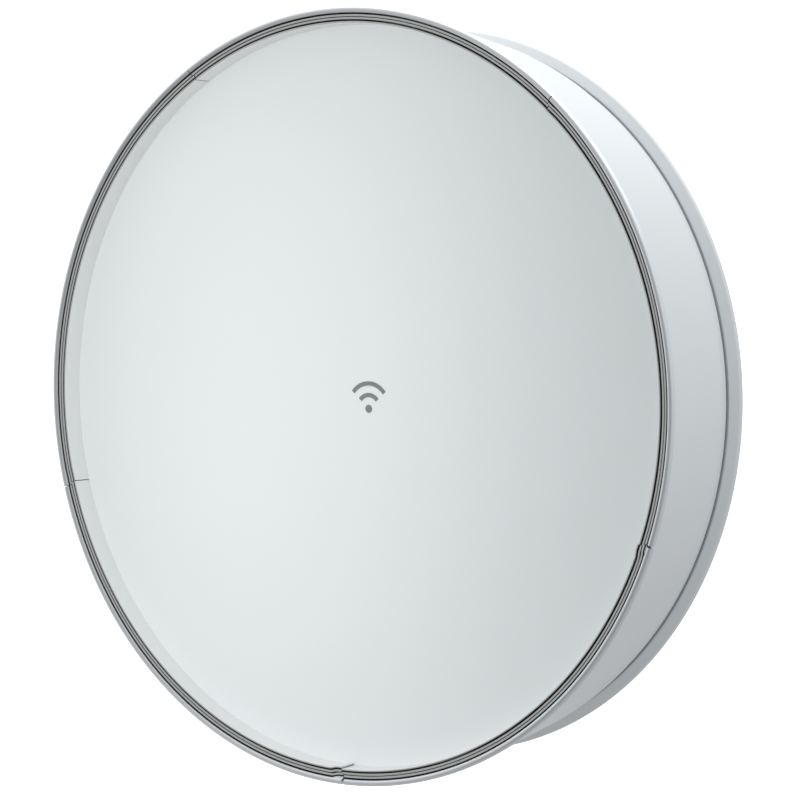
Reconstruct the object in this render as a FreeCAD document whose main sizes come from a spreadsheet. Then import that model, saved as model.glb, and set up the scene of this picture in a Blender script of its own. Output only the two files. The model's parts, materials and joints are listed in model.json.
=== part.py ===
import FreeCAD, Part

import math
import os

import Sketcher

# Outdoor wireless bridge: a dish radio with a shrouded, covered aperture on a tilting pole mount.
# Frame: origin on the pole clamp's axis, +Z up the pole, boresight along -Y.

Vector = FreeCAD.Vector
Rotation = FreeCAD.Rotation

doc = FreeCAD.newDocument("wireless_bridge")
sheet = doc.addObject("Spreadsheet::Sheet", "Sizes")

SIZES = {
    # reflector
    "dish_radius": 310.0,
    "rim_chamfer": 7.0,
    "rim_drop": 7.3,
    "rim_skirt": 4.2,
    "rim_land": 13.0,
    "hub_radius": 108.0,
    "focal_length": 190.0,
    "sheet_thick": 1.5,
    "hub_pivot_gap": 29.0,
    "feed_hole_radius": 26.0,
    # shroud
    "shroud_thick": 1.5,
    "neck_inset": 0.2,
    "neck_length": 10.2,
    "neck_step": 5.2,
    "neck_slope": 4.0,
    "wall_angle": 12.5,
    "front_lip": 2.3,
    "ledge_width": 14.0,
    "seat_land": 10.5,
    "rim_seal_thick": 1.0,
    # aperture
    "radome_thick": 2.5,
    "radome_recess": 17.4,
    "radome_clearance": 4.0,
    "seal_thick": 2.3,
    "seal_width": 11.0,
    "edge_gap": 0.3,
    "flat_gap": 0.1,
    # choke strips
    "strip_count": 5.0,
    "strip_seam": 0.12,
    "strip_lap": 0.4,
    "strip_first": 38.6,
    "strip_width": 13.7,
    "strip_leg": 1.4,
    "strip_lean": 1.8,
    "strip_groove": 1.4,
    "strip_fin": 1.9,
    "strip_slot": 0.6,
    "strip_fin_drop": 0.8,
    "strip_floor": 1.7,
    "strip_bead": 5.0,
    "bead_ahead": 1.0,
    "strip_hook_depth": 4.2,
    # emblem
    "emblem_size": 18.0,
    "emblem_band": 3.6,
    "emblem_dot": 3.4,
    "emblem_thick": 0.4,
    # feed
    "feed_bore": 18.8,
    "feed_wall": 2.4,
    "feed_foot_radius": 36.0,
    "feed_foot_thick": 3.0,
    "feed_tip_ahead": 18.0,
    "cap_radius": 31.0,
    "cap_wall": 2.0,
    "cap_depth": 22.0,
    "cap_round": 6.0,
    "sub_reflector_play": 0.5,
    "sub_reflector_thick": 1.2,
    "spacer_radius": 5.0,
    "feed_board_thick": 1.6,
    "dipole_length": 25.0,
    "dipole_width": 3.0,
    "dipole_thick": 1.0,
    # radio housing
    "housing_width": 76.0,
    "housing_height": 140.0,
    "housing_corner": 12.0,
    "base_depth": 12.0,
    "cover_depth": 29.5,
    "case_wall": 2.5,
    "base_floor": 3.0,
    "case_seal": 1.5,
    "board_stand": 9.4,
    "board_thick": 1.6,
    "board_margin": 3.5,
    "post_radius": 4.5,
    "post_inset": 8.6,
    "post_gap": 0.3,
    "shield_height": 3.5,
    "sink_height": 12.0,
    "jack_width": 16.0,
    "jack_height": 13.4,
    "jack_length": 20.0,
    "jack_mouth_width": 11.8,
    "jack_mouth_height": 8.4,
    "jack_mouth_depth": 14.0,
    "plug_room": 36.0,
    "bay_width": 44.0,
    "bay_height": 42.0,
    "slide_gap": 0.35,
    "latch_width": 14.0,
    "latch_height": 6.0,
    "latch_proud": 2.4,
    "grommet_radius": 6.0,
    "cable_radius": 3.2,
    "reset_radius": 1.6,
    "reset_proud": 2.4,
    "lens_length": 34.0,
    "lens_width": 4.0,
    "vent_radius": 6.5,
    "m3_radius": 1.5,
    # tilting bracket
    "plate_radius": 105.0,
    "plate_thick": 3.0,
    "plate_clearance": 3.0,
    "ear_step": 8.0,
    "ear_thick": 4.0,
    "ear_half_height": 28.0,
    "washer_thick": 1.0,
    "pivot_reach": 66.0,
    "pivot_round": 20.0,
    "lock_radius": 35.0,
    "lock_margin": 8.0,
    "tilt_angle": 20.0,
    "bolt_radius": 4.0,
    "bolt_fit": 0.08,
    "bolt_play": 0.5,
    "head_rim": 2.5,
    "head_height": 5.3,
    "nut_height": 6.5,
    "hub_bolt_x": 86.0,
    "hub_bolt_z": 31.0,
    "m6_radius": 3.0,
    # pole clamp
    "pole_radius": 30.0,
    "saddle_depth": 10.0,
    "web_thick": 4.0,
    "web_height": 150.0,
    "saddle_height": 26.0,
    "saddle_spacing": 100.0,
    "saddle_tip": 12.0,
    "jaw_thick": 8.0,
    "jaw_lug_thick": 16.0,
    "clamp_bolt_gap": 18.0,
    "clamp_bolt_reach": 74.0,
    "clamp_edge": 10.0,
}

for row, (alias, number) in enumerate(SIZES.items(), 1):
    sheet.set(f"A{row}", alias)
    sheet.set(f"B{row}", str(number))
    sheet.setAlias(f"B{row}", alias)
doc.recompute()


class Size:
    """A length or angle as a number and as the sheet expression that gives it."""

    def __init__(self, number, text):
        self.number = number
        self.text = text

    def __add__(self, other):
        other = size(other)
        return Size(self.number + other.number, f"({self.text} + {other.text})")

    def __sub__(self, other):
        other = size(other)
        return Size(self.number - other.number, f"({self.text} - {other.text})")

    def __mul__(self, other):
        other = size(other)
        return Size(self.number * other.number, f"({self.text} * {other.text})")

    def __truediv__(self, other):
        other = size(other)
        return Size(self.number / other.number, f"({self.text} / {other.text})")

    def __neg__(self):
        return Size(-self.number, f"(0 - {self.text})")

    __radd__ = __add__
    __rmul__ = __mul__


def size(value):
    return value if isinstance(value, Size) else Size(float(value), repr(float(value)))


def cosine(angle):
    return Size(math.cos(math.radians(angle.number)), f"cos({angle.text} * 1 deg)")


def sine(angle):
    return Size(math.sin(math.radians(angle.number)), f"sin({angle.text} * 1 deg)")


def root(value):
    return Size(math.sqrt(value.number), f"sqrt({value.text})")


class Sheet:
    """The sheet's values by alias."""

    def __getattr__(self, alias):
        return Size(float(sheet.get(alias)), f"Sizes.{alias}")


s = Sheet()


# ---------------------------------------------------------------- PartDesign helpers

def new_body(label):
    body = doc.addObject("PartDesign::Body", label)
    body.Label = label
    body.AllowCompound = True
    return body


def new_sketch(body, role, offset=None, turn=0.0):
    """A sketch on an origin plane, moved along the plane's normal or turned about its own y axis."""
    sketch = body.newObject("Sketcher::SketchObject", f"{body.Name}_sketch")
    plane = [item for item in body.Origin.OriginFeatures if item.Role == role][0]
    sketch.AttachmentSupport = [(plane, "")]
    sketch.MapMode = "FlatFace"
    sketch.AttachmentOffset = FreeCAD.Placement(Vector(), Rotation(Vector(0, 1, 0), turn))
    if offset is not None:
        sketch.setExpression("AttachmentOffset.Base.z", offset.text)
    return sketch


def bind(sketch, kind, *args):
    """Adds a constraint whose last argument is a Size, bound to the sheet."""
    value = size(args[-1])
    index = sketch.addConstraint(Sketcher.Constraint(kind, *args[:-1], value.number))
    sketch.setExpression(f"Constraints[{index}]", value.text)


def pin(sketch, element, end, x, y):
    """Places one end of an element at x, y."""
    bind(sketch, "DistanceX", -1, 1, element, end, x)
    bind(sketch, "DistanceY", -1, 1, element, end, y)


def arc_between(start, end, radius, left):
    """The arc from start to end that bulges to the left or right of the chord."""
    middle = (start + end) * 0.5
    chord = end - start
    side = Vector(-chord.y, chord.x, 0).normalize() * (1 if left else -1)
    rise = radius - math.sqrt(max(radius ** 2 - (chord.Length / 2) ** 2, 0))
    return Part.Arc(start, middle + side * rise, end)


def outline(sketch, points):
    """A closed outline. A point is (x, y), or (x, y, radius, left) where an arc leads to the next."""
    spots = [Vector(size(point[0]).number, size(point[1]).number, 0) for point in points]
    first = sketch.GeometryCount
    count = len(points)
    for index, point in enumerate(points):
        start = spots[index]
        end = spots[(index + 1) % count]
        if len(point) == 4:
            curve = arc_between(start, end, size(point[2]).number, point[3])
            sketch.addGeometry(curve)
        else:
            sketch.addGeometry(Part.LineSegment(start, end))
    ends = []
    for index in range(count):
        is_arc = len(points[index]) == 4
        clockwise = is_arc and points[index][3]
        ends.append((2, 1) if clockwise else (1, 2))
    for index in range(count):
        after = (index + 1) % count
        sketch.addConstraint(Sketcher.Constraint("Coincident", first + index, ends[index][1],
                                                 first + after, ends[after][0]))
    for index, point in enumerate(points):
        pin(sketch, first + index, ends[index][0], point[0], point[1])
        if len(point) == 4:
            bind(sketch, "Radius", first + index, point[2])


def circle(sketch, x, y, radius):
    element = sketch.addGeometry(Part.Circle(Vector(size(x).number, size(y).number, 0),
                                             Vector(0, 0, 1), size(radius).number))
    pin(sketch, element, 3, x, y)
    bind(sketch, "Radius", element, radius)


def rectangle(sketch, left, right, low, high):
    outline(sketch, [(left, low), (right, low), (right, high), (left, high)])


def rounded_rectangle(sketch, half_x, half_y, corner):
    outline(sketch, [
        (-(half_x - corner), -half_y), (half_x - corner, -half_y, corner, False),
        (half_x, -(half_y - corner)), (half_x, half_y - corner, corner, False),
        (half_x - corner, half_y), (-(half_x - corner), half_y, corner, False),
        (-half_x, half_y - corner), (-half_x, -(half_y - corner), corner, False),
    ])


def pad(body, sketch, length, reverse=False):
    feature = body.newObject("PartDesign::Pad", f"{body.Name}_pad")
    feature.Profile = sketch
    feature.Length = length.number
    feature.setExpression("Length", length.text)
    feature.Reversed = reverse
    return feature


def pocket(body, sketch, length=None, reverse=False):
    feature = body.newObject("PartDesign::Pocket", f"{body.Name}_pocket")
    feature.Profile = sketch
    if length is None:
        feature.Type = "ThroughAll"
        feature.Midplane = True
    else:
        feature.Length = length.number
        feature.setExpression("Length", length.text)
        feature.Reversed = reverse
    return feature


def revolve(body, sketch, angle=None):
    """Turns a sketch of the XY plane about its own vertical axis."""
    feature = body.newObject("PartDesign::Revolution", f"{body.Name}_turn")
    feature.Profile = sketch
    feature.ReferenceAxis = (sketch, ["V_Axis"])
    feature.Angle = 360.0
    if angle is not None:
        feature.setExpression("Angle", angle.text)
    return feature


def turned(label, points):
    """A body of revolution about the boresight, from (radius, y) points."""
    body = new_body(label)
    sketch = new_sketch(body, "XY_Plane")
    outline(sketch, points)
    revolve(body, sketch)
    return body


def ring(label, inner, outer, front, back):
    return turned(label, [(inner, front), (outer, front), (outer, back), (inner, back)])


# ---------------------------------------------------------------- Part helpers

def place(item, x, y, z, turn=None):
    if turn is not None:
        item.Placement = FreeCAD.Placement(Vector(), turn)
    for axis, value in zip("xyz", (x, y, z)):
        item.setExpression(f"Placement.Base.{axis}", size(value).text)


def block(name, x, y, z):
    """A box between two x, two y and two z values."""
    item = doc.addObject("Part::Box", name)
    for side, (low, high) in zip(("Length", "Width", "Height"), (x, y, z)):
        item.setExpression(side, (size(high) - low).text)
    place(item, x[0], y[0], z[0])
    return item


TURNS = {
    "x": Rotation(Vector(0, 1, 0), 90),
    "y": Rotation(Vector(1, 0, 0), -90),
    "z": Rotation(),
}


def rod(name, axis, start, length, radius):
    """A cylinder from start along +axis."""
    item = doc.addObject("Part::Cylinder", name)
    item.setExpression("Radius", size(radius).text)
    item.setExpression("Height", size(length).text)
    place(item, *start, TURNS[axis])
    return item


def hexagon(name, axis, start, height, width):
    """A hexagonal prism from start along +axis, by its width across flats."""
    item = doc.addObject("Part::Prism", name)
    item.Polygon = 6
    item.setExpression("Circumradius", f"{size(width).text} / sqrt(3)")
    item.setExpression("Height", size(height).text)
    place(item, *start, TURNS[axis])
    return item


def fuse(name, items):
    item = doc.addObject("Part::MultiFuse", name)
    item.Shapes = items
    item.Refine = True
    return item


def cut(name, base, tools):
    item = doc.addObject("Part::Cut", name)
    item.Base = base
    item.Tool = tools[0] if len(tools) == 1 else fuse(f"{name}_tools", tools)
    item.Refine = True
    return item


def group(name, items):
    item = doc.addObject("Part::Compound", name)
    item.Links = items
    return item


def shifted(start, axis, distance):
    """A point moved along one axis."""
    moved = [size(value) for value in start]
    index = "xyz".index(axis)
    moved[index] = moved[index] + distance
    return moved


def bolt(name, axis, seat, length, radius, head_width, head_height, toward):
    """A hexagon bolt whose head sits on seat; its shank runs toward +1 or -1 along the axis."""
    if toward > 0:
        head = hexagon(f"{name}_head", axis, shifted(seat, axis, -size(head_height)), head_height, head_width)
        shank = rod(f"{name}_shank", axis, seat, length, radius)
    else:
        head = hexagon(f"{name}_head", axis, seat, head_height, head_width)
        shank = rod(f"{name}_shank", axis, shifted(seat, axis, -size(length)), length, radius)
    return fuse(name, [head, shank])


def nut(name, axis, start, height, width, bore):
    body = hexagon(f"{name}_body", axis, start, height, width)
    return cut(name, body, [rod(f"{name}_bore", axis, shifted(start, axis, -1), size(height) + 2, bore)])


def washer(name, axis, start, thick, radius, bore):
    disc = rod(f"{name}_disc", axis, start, thick, radius)
    return cut(name, disc, [rod(f"{name}_bore", axis, shifted(start, axis, -1), size(thick) + 2, bore)])


parts = []


def keep(item, label=None):
    """Marks an object as one sub-part to be written."""
    if label is not None:
        item.Label = label
    parts.append(item)
    return item


# ---------------------------------------------------------------- stations along the boresight

web_back = -(s.pole_radius + s.saddle_depth)
web_front = web_back - s.web_thick
pivot_y = web_front - s.pivot_reach
hub_back = pivot_y - s.hub_pivot_gap
hub_front = hub_back - s.sheet_thick
bowl_radius = s.dish_radius - s.rim_chamfer - s.rim_land
bowl_depth = (bowl_radius * bowl_radius - s.hub_radius * s.hub_radius) / (s.focal_length * 4)
rim_front = hub_front - bowl_depth
vertex = hub_front + s.hub_radius * s.hub_radius / (s.focal_length * 4)
feed_tip = vertex - s.focal_length - s.feed_tip_ahead
radome_back = feed_tip - s.radome_clearance
radome_front = radome_back - s.radome_thick
front = radome_front - s.radome_recess

# ---------------------------------------------------------------- shroud radii

neck_radius = s.dish_radius - s.rim_chamfer - s.neck_inset
wall_end_radius = neck_radius + s.neck_step
seat_back = rim_front - s.rim_seal_thick
wall_front = front + s.front_lip
wall_end = seat_back - s.neck_length - s.neck_slope
wall_taper = sine(s.wall_angle) / cosine(s.wall_angle)
wall_front_radius = wall_end_radius + wall_taper * (wall_end - wall_front)
strip_outer = wall_front_radius + s.strip_leg
strip_inner = strip_outer - s.strip_width


def wall_inside(y):
    """The inner radius of the flared wall at a station y."""
    return wall_front_radius - s.shroud_thick - wall_taper * (y - wall_front)


# ---------------------------------------------------------------- reflector and shroud

BOWL_STRETCHES = 3


def bowl_points(shift, outward):
    """The parabolic bowl as arcs that meet on the parabola, from the hub out or back from the rim."""
    step = (bowl_radius - s.hub_radius) / BOWL_STRETCHES
    radii = [s.hub_radius + step * index for index in range(BOWL_STRETCHES + 1)]
    points = []
    for near, far in zip(radii, radii[1:]):
        slope = (near + far) / (s.focal_length * 4)
        length = root(slope * slope + 1)
        half_chord = step / 2 * length
        rise = step * step / (s.focal_length * 16) / length
        radius = (half_chord * half_chord + rise * rise) / (rise * 2)
        start = near if outward else far
        points.append((start, vertex + shift - start * start / (s.focal_length * 4), radius, outward))
    return points if outward else points[::-1]


def make_reflector():
    thick = s.sheet_thick
    edge = s.dish_radius
    skirt_end = rim_front + s.rim_drop + s.rim_skirt
    bend = thick * 0.4
    body = turned("reflector_dish", [
        (s.feed_hole_radius, hub_front),
        *bowl_points(size(0), True),
        (bowl_radius, rim_front),
        (edge - s.rim_chamfer, rim_front),
        (edge, rim_front + s.rim_drop),
        (edge, skirt_end),
        (edge - thick, skirt_end),
        (edge - thick, rim_front + s.rim_drop + bend),
        (edge - s.rim_chamfer - bend, rim_front + thick),
        *bowl_points(thick, False),
        (s.hub_radius, hub_back),
        (s.feed_hole_radius, hub_back),
    ])
    holes = new_sketch(body, "XZ_Plane")
    for x in (-s.hub_bolt_x, s.hub_bolt_x):
        for z in (-s.hub_bolt_z, s.hub_bolt_z):
            circle(holes, x, z, s.m6_radius + s.edge_gap)
    for x, z in feed_screw_places():
        circle(holes, x, z, s.m3_radius + s.edge_gap)
    pocket(body, holes)
    rim_holes(body)
    return body


screw_circle = s.dish_radius - s.rim_chamfer - s.rim_land / 2
RIM_SCREWS = 12


def rim_holes(body):
    """Clearance holes for the rim screws, on one circle."""
    sketch = new_sketch(body, "XZ_Plane")
    circle(sketch, 0, screw_circle, s.m3_radius + s.edge_gap)
    hole = pocket(body, sketch)
    doc.recompute()
    pattern = body.newObject("PartDesign::PolarPattern", f"{body.Name}_holes")
    pattern.Originals = [hole]
    axis = [item for item in body.Origin.OriginFeatures if item.Role == "Y_Axis"][0]
    pattern.Axis = (axis, [""])
    pattern.Angle = 360.0
    pattern.Occurrences = RIM_SCREWS
    body.Tip = pattern


def make_shroud():
    thick = s.shroud_thick
    ledge_front = radome_back + s.seal_thick + s.flat_gap * 2
    ledge_back = ledge_front + thick
    ledge_edge = wall_inside(ledge_front) - s.ledge_width
    neck_start = wall_end + s.neck_slope
    seat_edge = neck_radius - s.seat_land
    body = turned("shroud", [
        (wall_front_radius, wall_front),
        (wall_end_radius, wall_end),
        (neck_radius, neck_start),
        (neck_radius, seat_back),
        (seat_edge, seat_back),
        (seat_edge, seat_back - thick),
        (neck_radius - thick, seat_back - thick),
        (neck_radius - thick, neck_start),
        (wall_end_radius - thick, wall_end),
        (wall_inside(ledge_back), ledge_back),
        (ledge_edge, ledge_back),
        (ledge_edge, ledge_front),
        (wall_inside(ledge_front), ledge_front),
        (wall_front_radius - thick, wall_front),
    ])
    rim_holes(body)
    return body


def make_rim_seal():
    body = ring("rim_seal", neck_radius - s.seat_land, neck_radius + 0.5, seat_back, rim_front)
    rim_holes(body)
    return body


def rim_fasteners():
    """Screws from behind the rim, with nuts inside the shroud."""
    screws = []
    nuts = []
    for index in range(RIM_SCREWS):
        angle = 360.0 / RIM_SCREWS * index
        turn = FreeCAD.Placement(Vector(), Rotation(Vector(0, 1, 0), angle))
        seat = (0, rim_front + s.sheet_thick, screw_circle)
        length = s.sheet_thick + s.rim_seal_thick + s.shroud_thick + 4
        screw = bolt(f"rim_screw_{index}", "y", seat, length, s.m3_radius, 6, 2.2, -1)
        screw.Placement = turn
        screws.append(screw)
        top = (0, seat_back - s.shroud_thick - 2.4, screw_circle)
        piece = nut(f"rim_nut_{index}", "y", top, 2.4, 5.5, s.m3_radius + s.bolt_fit)
        piece.Placement = turn
        nuts.append(piece)
    keep(group("rim_screws", screws))
    keep(group("rim_nuts", nuts))


# ---------------------------------------------------------------- aperture

def hook_lean(y):
    """How far the hook leans inward between the wall's front edge and a station y, as the wall does."""
    return wall_taper * (y - wall_front)


def fin_points(index, floor_front):
    """The outline of one choke fin, from its inner foot round to its outer foot."""
    lean = (s.strip_lean + hook_lean(floor_front)) / 2
    inner = strip_inner + s.strip_leg + s.strip_groove + (s.strip_fin + s.strip_slot) * index
    outer = inner + s.strip_fin
    top = front + s.strip_fin_drop
    return [(inner - lean, floor_front), (inner, top), (outer, top), (outer - lean, floor_front)]


def strip_profile_inner(floor_front, back, split):
    """Inner leg, first fin and the inner part of the floor of a choke strip."""
    return [
        (strip_inner, front),
        (strip_inner + s.strip_leg, front),
        (strip_inner + s.strip_leg - s.strip_lean, floor_front),
        *fin_points(0, floor_front),
        (split, floor_front),
        (split, back),
        (strip_inner - s.strip_lean, back),
    ]


def strip_profile_outer(floor_front, back, split):
    """The outer part of the floor, the second fin and the beaded hook that caps the shroud's front edge."""
    hook_inside = wall_front_radius - s.shroud_thick - s.flat_gap * 2
    lean = hook_lean(floor_front)
    lip_back = front + s.strip_hook_depth
    lip_inner = wall_front_radius + s.flat_gap * 2
    half_bead = s.strip_bead / 2
    hook = strip_outer - s.strip_bead
    under_crown = wall_front - s.flat_gap * 2
    crown = front + half_bead - s.bead_ahead
    return [
        (split, floor_front),
        *fin_points(1, floor_front),
        (hook - lean, floor_front),
        (hook, crown, half_bead, False),
        (hook + half_bead, crown - half_bead, half_bead, False),
        (strip_outer, crown),
        (strip_outer, lip_back),
        (lip_inner, lip_back),
        (lip_inner, under_crown),
        (hook_inside, under_crown),
        (hook_inside - lean, floor_front),
        (hook_inside - hook_lean(back), back),
        (split, back),
    ]


def make_strip(index):
    """One fifth of the choke ring; its inner half laps past its outer half at each joint."""
    body = new_body(f"choke_strip_{index + 1}")
    back = radome_front - s.flat_gap
    floor_front = back - s.strip_floor
    split = fin_points(0, floor_front)[3][0] + s.strip_slot / 2
    span = size(360) / s.strip_count - s.strip_seam
    inner = new_sketch(body, "XY_Plane", turn=1.0)
    inner.setExpression("AttachmentOffset.Rotation.Angle", s.strip_lap.text)
    outline(inner, strip_profile_inner(floor_front, back, split))
    revolve(body, inner, span)
    outer = new_sketch(body, "XY_Plane")
    outline(outer, strip_profile_outer(floor_front, back, split))
    revolve(body, outer, span)
    body.Placement = FreeCAD.Placement(Vector(), Rotation(Vector(0, 1, 0), 1.0))
    start = s.strip_first - 90 + size(360) / s.strip_count * index
    body.setExpression("Placement.Rotation.Angle", start.text)
    return body


def make_aperture():
    radome_edge = wall_inside(radome_back) - s.edge_gap * 3
    keep(turned("radome", [
        (0, radome_front), (radome_edge, radome_front), (radome_edge, radome_back), (0, radome_back)]))
    seal_outer = wall_inside(radome_back + s.seal_thick) - s.edge_gap * 2
    seal_front = radome_back + s.flat_gap
    keep(ring("radome_seal", seal_outer - s.seal_width, seal_outer, seal_front, seal_front + s.seal_thick))
    for index in range(round(s.strip_count.number)):
        keep(make_strip(index))


def sector(name, radius, band, angle, start):
    """An upright flat arc band about the emblem's dot."""
    pieces = []
    for suffix, edge in (("outer", radius), ("inner", radius - band)):
        item = doc.addObject("Part::Cylinder", f"{name}_{suffix}")
        item.setExpression("Radius", edge.text)
        item.setExpression("Height", s.emblem_thick.text)
        item.Angle = angle
        turn = Rotation(Vector(1, 0, 0), 90).multiply(Rotation(Vector(0, 0, 1), start))
        place(item, 0, radome_front, -s.emblem_size * 0.6, turn)
        pieces.append(item)
    return cut(name, pieces[0], [pieces[1]])


def make_emblem():
    """A plain signal sign: a dot under two arcs."""
    low = -s.emblem_size * 0.6
    dot = rod("emblem_dot", "y", (0, radome_front - s.emblem_thick, low), s.emblem_thick, s.emblem_dot)
    arcs = []
    for name, share in (("emblem_arc_small", 0.75), ("emblem_arc_large", 1.3)):
        arcs.append(sector(name, s.emblem_size * share, s.emblem_band, 100.0, 40.0))
    keep(group("emblem", [dot] + arcs))


# ---------------------------------------------------------------- feed

def make_feed():
    foot_front = hub_front - s.feed_foot_thick
    tube = s.feed_bore + s.feed_wall
    cap_back = feed_tip + s.cap_depth
    flange = cap_back + s.feed_wall
    rim = s.cap_radius - s.cap_wall - s.edge_gap
    tube_body = turned("feed_tube_blank", [
        (s.feed_bore, hub_front),
        (s.feed_foot_radius, hub_front),
        (s.feed_foot_radius, foot_front),
        (tube + 4, foot_front),
        (tube, foot_front - 6),
        (tube, flange),
        (rim, flange),
        (rim, cap_back),
        (s.feed_bore, cap_back),
    ])
    keep(with_feed_screw_holes("feed_tube", tube_body))
    keep(turned("feed_cap", [
        (0, feed_tip),
        (s.cap_radius - s.cap_round, feed_tip, s.cap_round, False),
        (s.cap_radius, feed_tip + s.cap_round),
        (s.cap_radius, flange),
        (s.cap_radius - s.cap_wall, flange),
        (s.cap_radius - s.cap_wall, feed_tip + s.cap_round),
        (s.cap_radius - s.cap_round, feed_tip + s.cap_wall),
        (0, feed_tip + s.cap_wall),
    ]))
    sub_front = feed_tip + s.cap_wall + s.flat_gap
    sub_back = sub_front + s.sub_reflector_thick
    keep(rod("sub_reflector", "y", (0, sub_front, 0), s.sub_reflector_thick,
             s.cap_radius - s.cap_round - s.sub_reflector_play))
    board_front = cap_back - 1
    dipole_front = board_front - s.dipole_thick
    keep(rod("feed_spacer", "y", (0, sub_back, 0), dipole_front - sub_back, s.spacer_radius))
    half = s.dipole_length / 2
    wide = s.dipole_width / 2
    bars = [
        block("dipole_across", (-half, half), (dipole_front, board_front), (-wide, wide)),
        block("dipole_upright", (-wide, wide), (dipole_front, board_front), (-half, half)),
    ]
    keep(fuse("feed_dipoles", bars))
    reach = s.feed_bore - s.edge_gap * 1.5
    deep = s.feed_board_thick / 2
    keep(block("feed_board", (-reach, reach), (board_front, board_front_station()), (-deep, deep)))


def board_front_station():
    """The front face of the main board, where the feed board plugs in."""
    return hub_back + s.base_floor + s.board_stand


def feed_screw_places():
    spread = (s.feed_foot_radius - 4) * 0.7071
    return [(x, z) for x in (-spread, spread) for z in (-spread, spread)]


def make_feed_screws():
    screws = []
    for index, (x, z) in enumerate(feed_screw_places()):
        seat = (x, hub_front - s.feed_foot_thick, z)
        length = s.feed_foot_thick + s.sheet_thick + s.base_floor
        screws.append(bolt(f"feed_screw_{index}", "y", seat, length, s.m3_radius, 5.5, 2.2, 1))
    keep(group("feed_screws", screws))


def with_feed_screw_holes(name, base):
    """Cuts the four feed screw holes through a piece."""
    holes = []
    for index, (x, z) in enumerate(feed_screw_places()):
        start = (x, hub_front - 20, z)
        holes.append(rod(f"{name}_feed_hole_{index}", "y", start, 60, s.m3_radius + s.bolt_fit))
    return cut(name, base, holes)


# ---------------------------------------------------------------- radio housing

half_width = s.housing_width / 2
half_height = s.housing_height / 2
base_front = hub_back
base_back = base_front + s.base_depth
cover_front = base_back + s.case_seal
cover_back = cover_front + s.cover_depth
board_front = board_front_station()
board_back = board_front + s.board_thick
post_x = half_width - s.post_inset
post_z = half_height - s.post_inset
bay_half = s.bay_width / 2
bay_top = -half_height + s.bay_height


def shell(label, outside, depth, floor, at_front):
    """A tray with rounded corners; its floor faces the dish or faces away from it."""
    body = new_body(label)
    start = new_sketch(body, "XZ_Plane", -outside)
    rounded_rectangle(start, half_width, half_height, s.housing_corner)
    pad(body, start, depth, reverse=at_front)
    inner_start = outside + floor if at_front else outside - floor
    hollow = new_sketch(body, "XZ_Plane", -inner_start)
    wall = s.case_wall
    rounded_rectangle(hollow, half_width - wall, half_height - wall, s.housing_corner - wall)
    pocket(body, hollow, depth, reverse=not at_front)
    return body


def posts(name, front_y, back_y):
    return [rod(f"{name}_post_{index}", "y", (x, front_y, z), back_y - front_y, s.post_radius)
            for index, (x, z) in enumerate(post_places())]


def post_places():
    return [(x, z) for x in (-post_x, post_x) for z in (-post_z, post_z)]


def make_base():
    tray = shell("base_tray_shell", base_front, s.base_depth, s.base_floor, True)
    stands = [rod(f"base_stand_{index}", "y", (x, base_front + 1, z), board_front - base_front - 1, s.post_radius)
              for index, (x, z) in enumerate(stand_places())]
    solid = fuse("base_tray_solid", [tray] + posts("base_tray", base_front + 1, base_back) + stands)
    tools = [rod("base_feed_hole", "y", (0, base_front - 1, 0), 10, s.feed_bore)]
    for index, (x, z) in enumerate(post_places()):
        tools.append(rod(f"base_screw_hole_{index}", "y", (x, base_front + 6, z), 40, s.m3_radius + s.bolt_fit))
    for index, (x, z) in enumerate(stand_places()):
        tools.append(rod(f"base_board_hole_{index}", "y", (x, base_front + 4, z), 20, s.m3_radius + s.bolt_fit))
    keep(with_feed_screw_holes("base_tray", cut("base_tray_bored", solid, tools)), "base_tray")


stand_x = half_width - s.case_wall - s.board_margin - s.post_radius - 1
stand_z = half_height - s.post_inset * 3


def stand_places():
    return [(x, z) for x in (-stand_x, stand_x) for z in (-stand_z, stand_z)]


def make_board():
    board_x = half_width - s.case_wall - s.board_margin
    board_z = half_height - s.case_wall - s.board_margin
    board = block("board_blank", (-board_x, board_x), (board_front, board_back), (-board_z, board_z))
    tools = []
    for index, (x, z) in enumerate(post_places()):
        tools.append(rod(f"board_notch_{index}", "y", (x, board_front - 1, z), 5, s.post_radius + 0.8))
    for index, (x, z) in enumerate(stand_places()):
        tools.append(rod(f"board_hole_{index}", "y", (x, board_front - 1, z), 5, s.m3_radius + s.edge_gap))
    keep(cut("main_board", board, tools))
    screws = []
    for index, (x, z) in enumerate(stand_places()):
        screws.append(bolt(f"board_screw_{index}", "y", (x, board_back, z), 7, s.m3_radius, 5.5, 2, -1))
    keep(group("board_screws", screws))
    cans = []
    for index, (left, right, low, high) in enumerate(((-20, 20, 2, 38), (-30, -12, -32, -4))):
        cans.append(block(f"shield_{index}", (left, right), (board_back, board_back + s.shield_height), (low, high)))
    keep(group("rf_shields", cans))


def make_heat_sink():
    foot = board_back + s.shield_height
    plate_back = foot + 3
    sink = [block("sink_plate", (-19, 19), (foot, plate_back), (4, 36))]
    for index in range(6):
        low = 4 + index * 6
        sink.append(block(f"sink_fin_{index}", (-19, 19), (plate_back - 1, foot + s.sink_height), (low, low + 2)))
    keep(fuse("heat_sink", sink))


jack_mouth = -half_height + s.plug_room
jack_centre = board_back + s.jack_height / 2


def make_jack():
    half = s.jack_width / 2
    can = block("jack_can", (-half, half), (board_back, board_back + s.jack_height),
                (jack_mouth, jack_mouth + s.jack_length))
    mouth = s.jack_mouth_width / 2
    rise = s.jack_mouth_height / 2
    hole = block("jack_mouth", (-mouth, mouth), (jack_centre - rise, jack_centre + rise),
                 (jack_mouth - 1, jack_mouth + s.jack_mouth_depth))
    keep(cut("ethernet_jack", can, [hole]))


reset_x = s.jack_width / 2 + 7
reset_y = board_back + 4
reset_low = jack_mouth + 2


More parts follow.
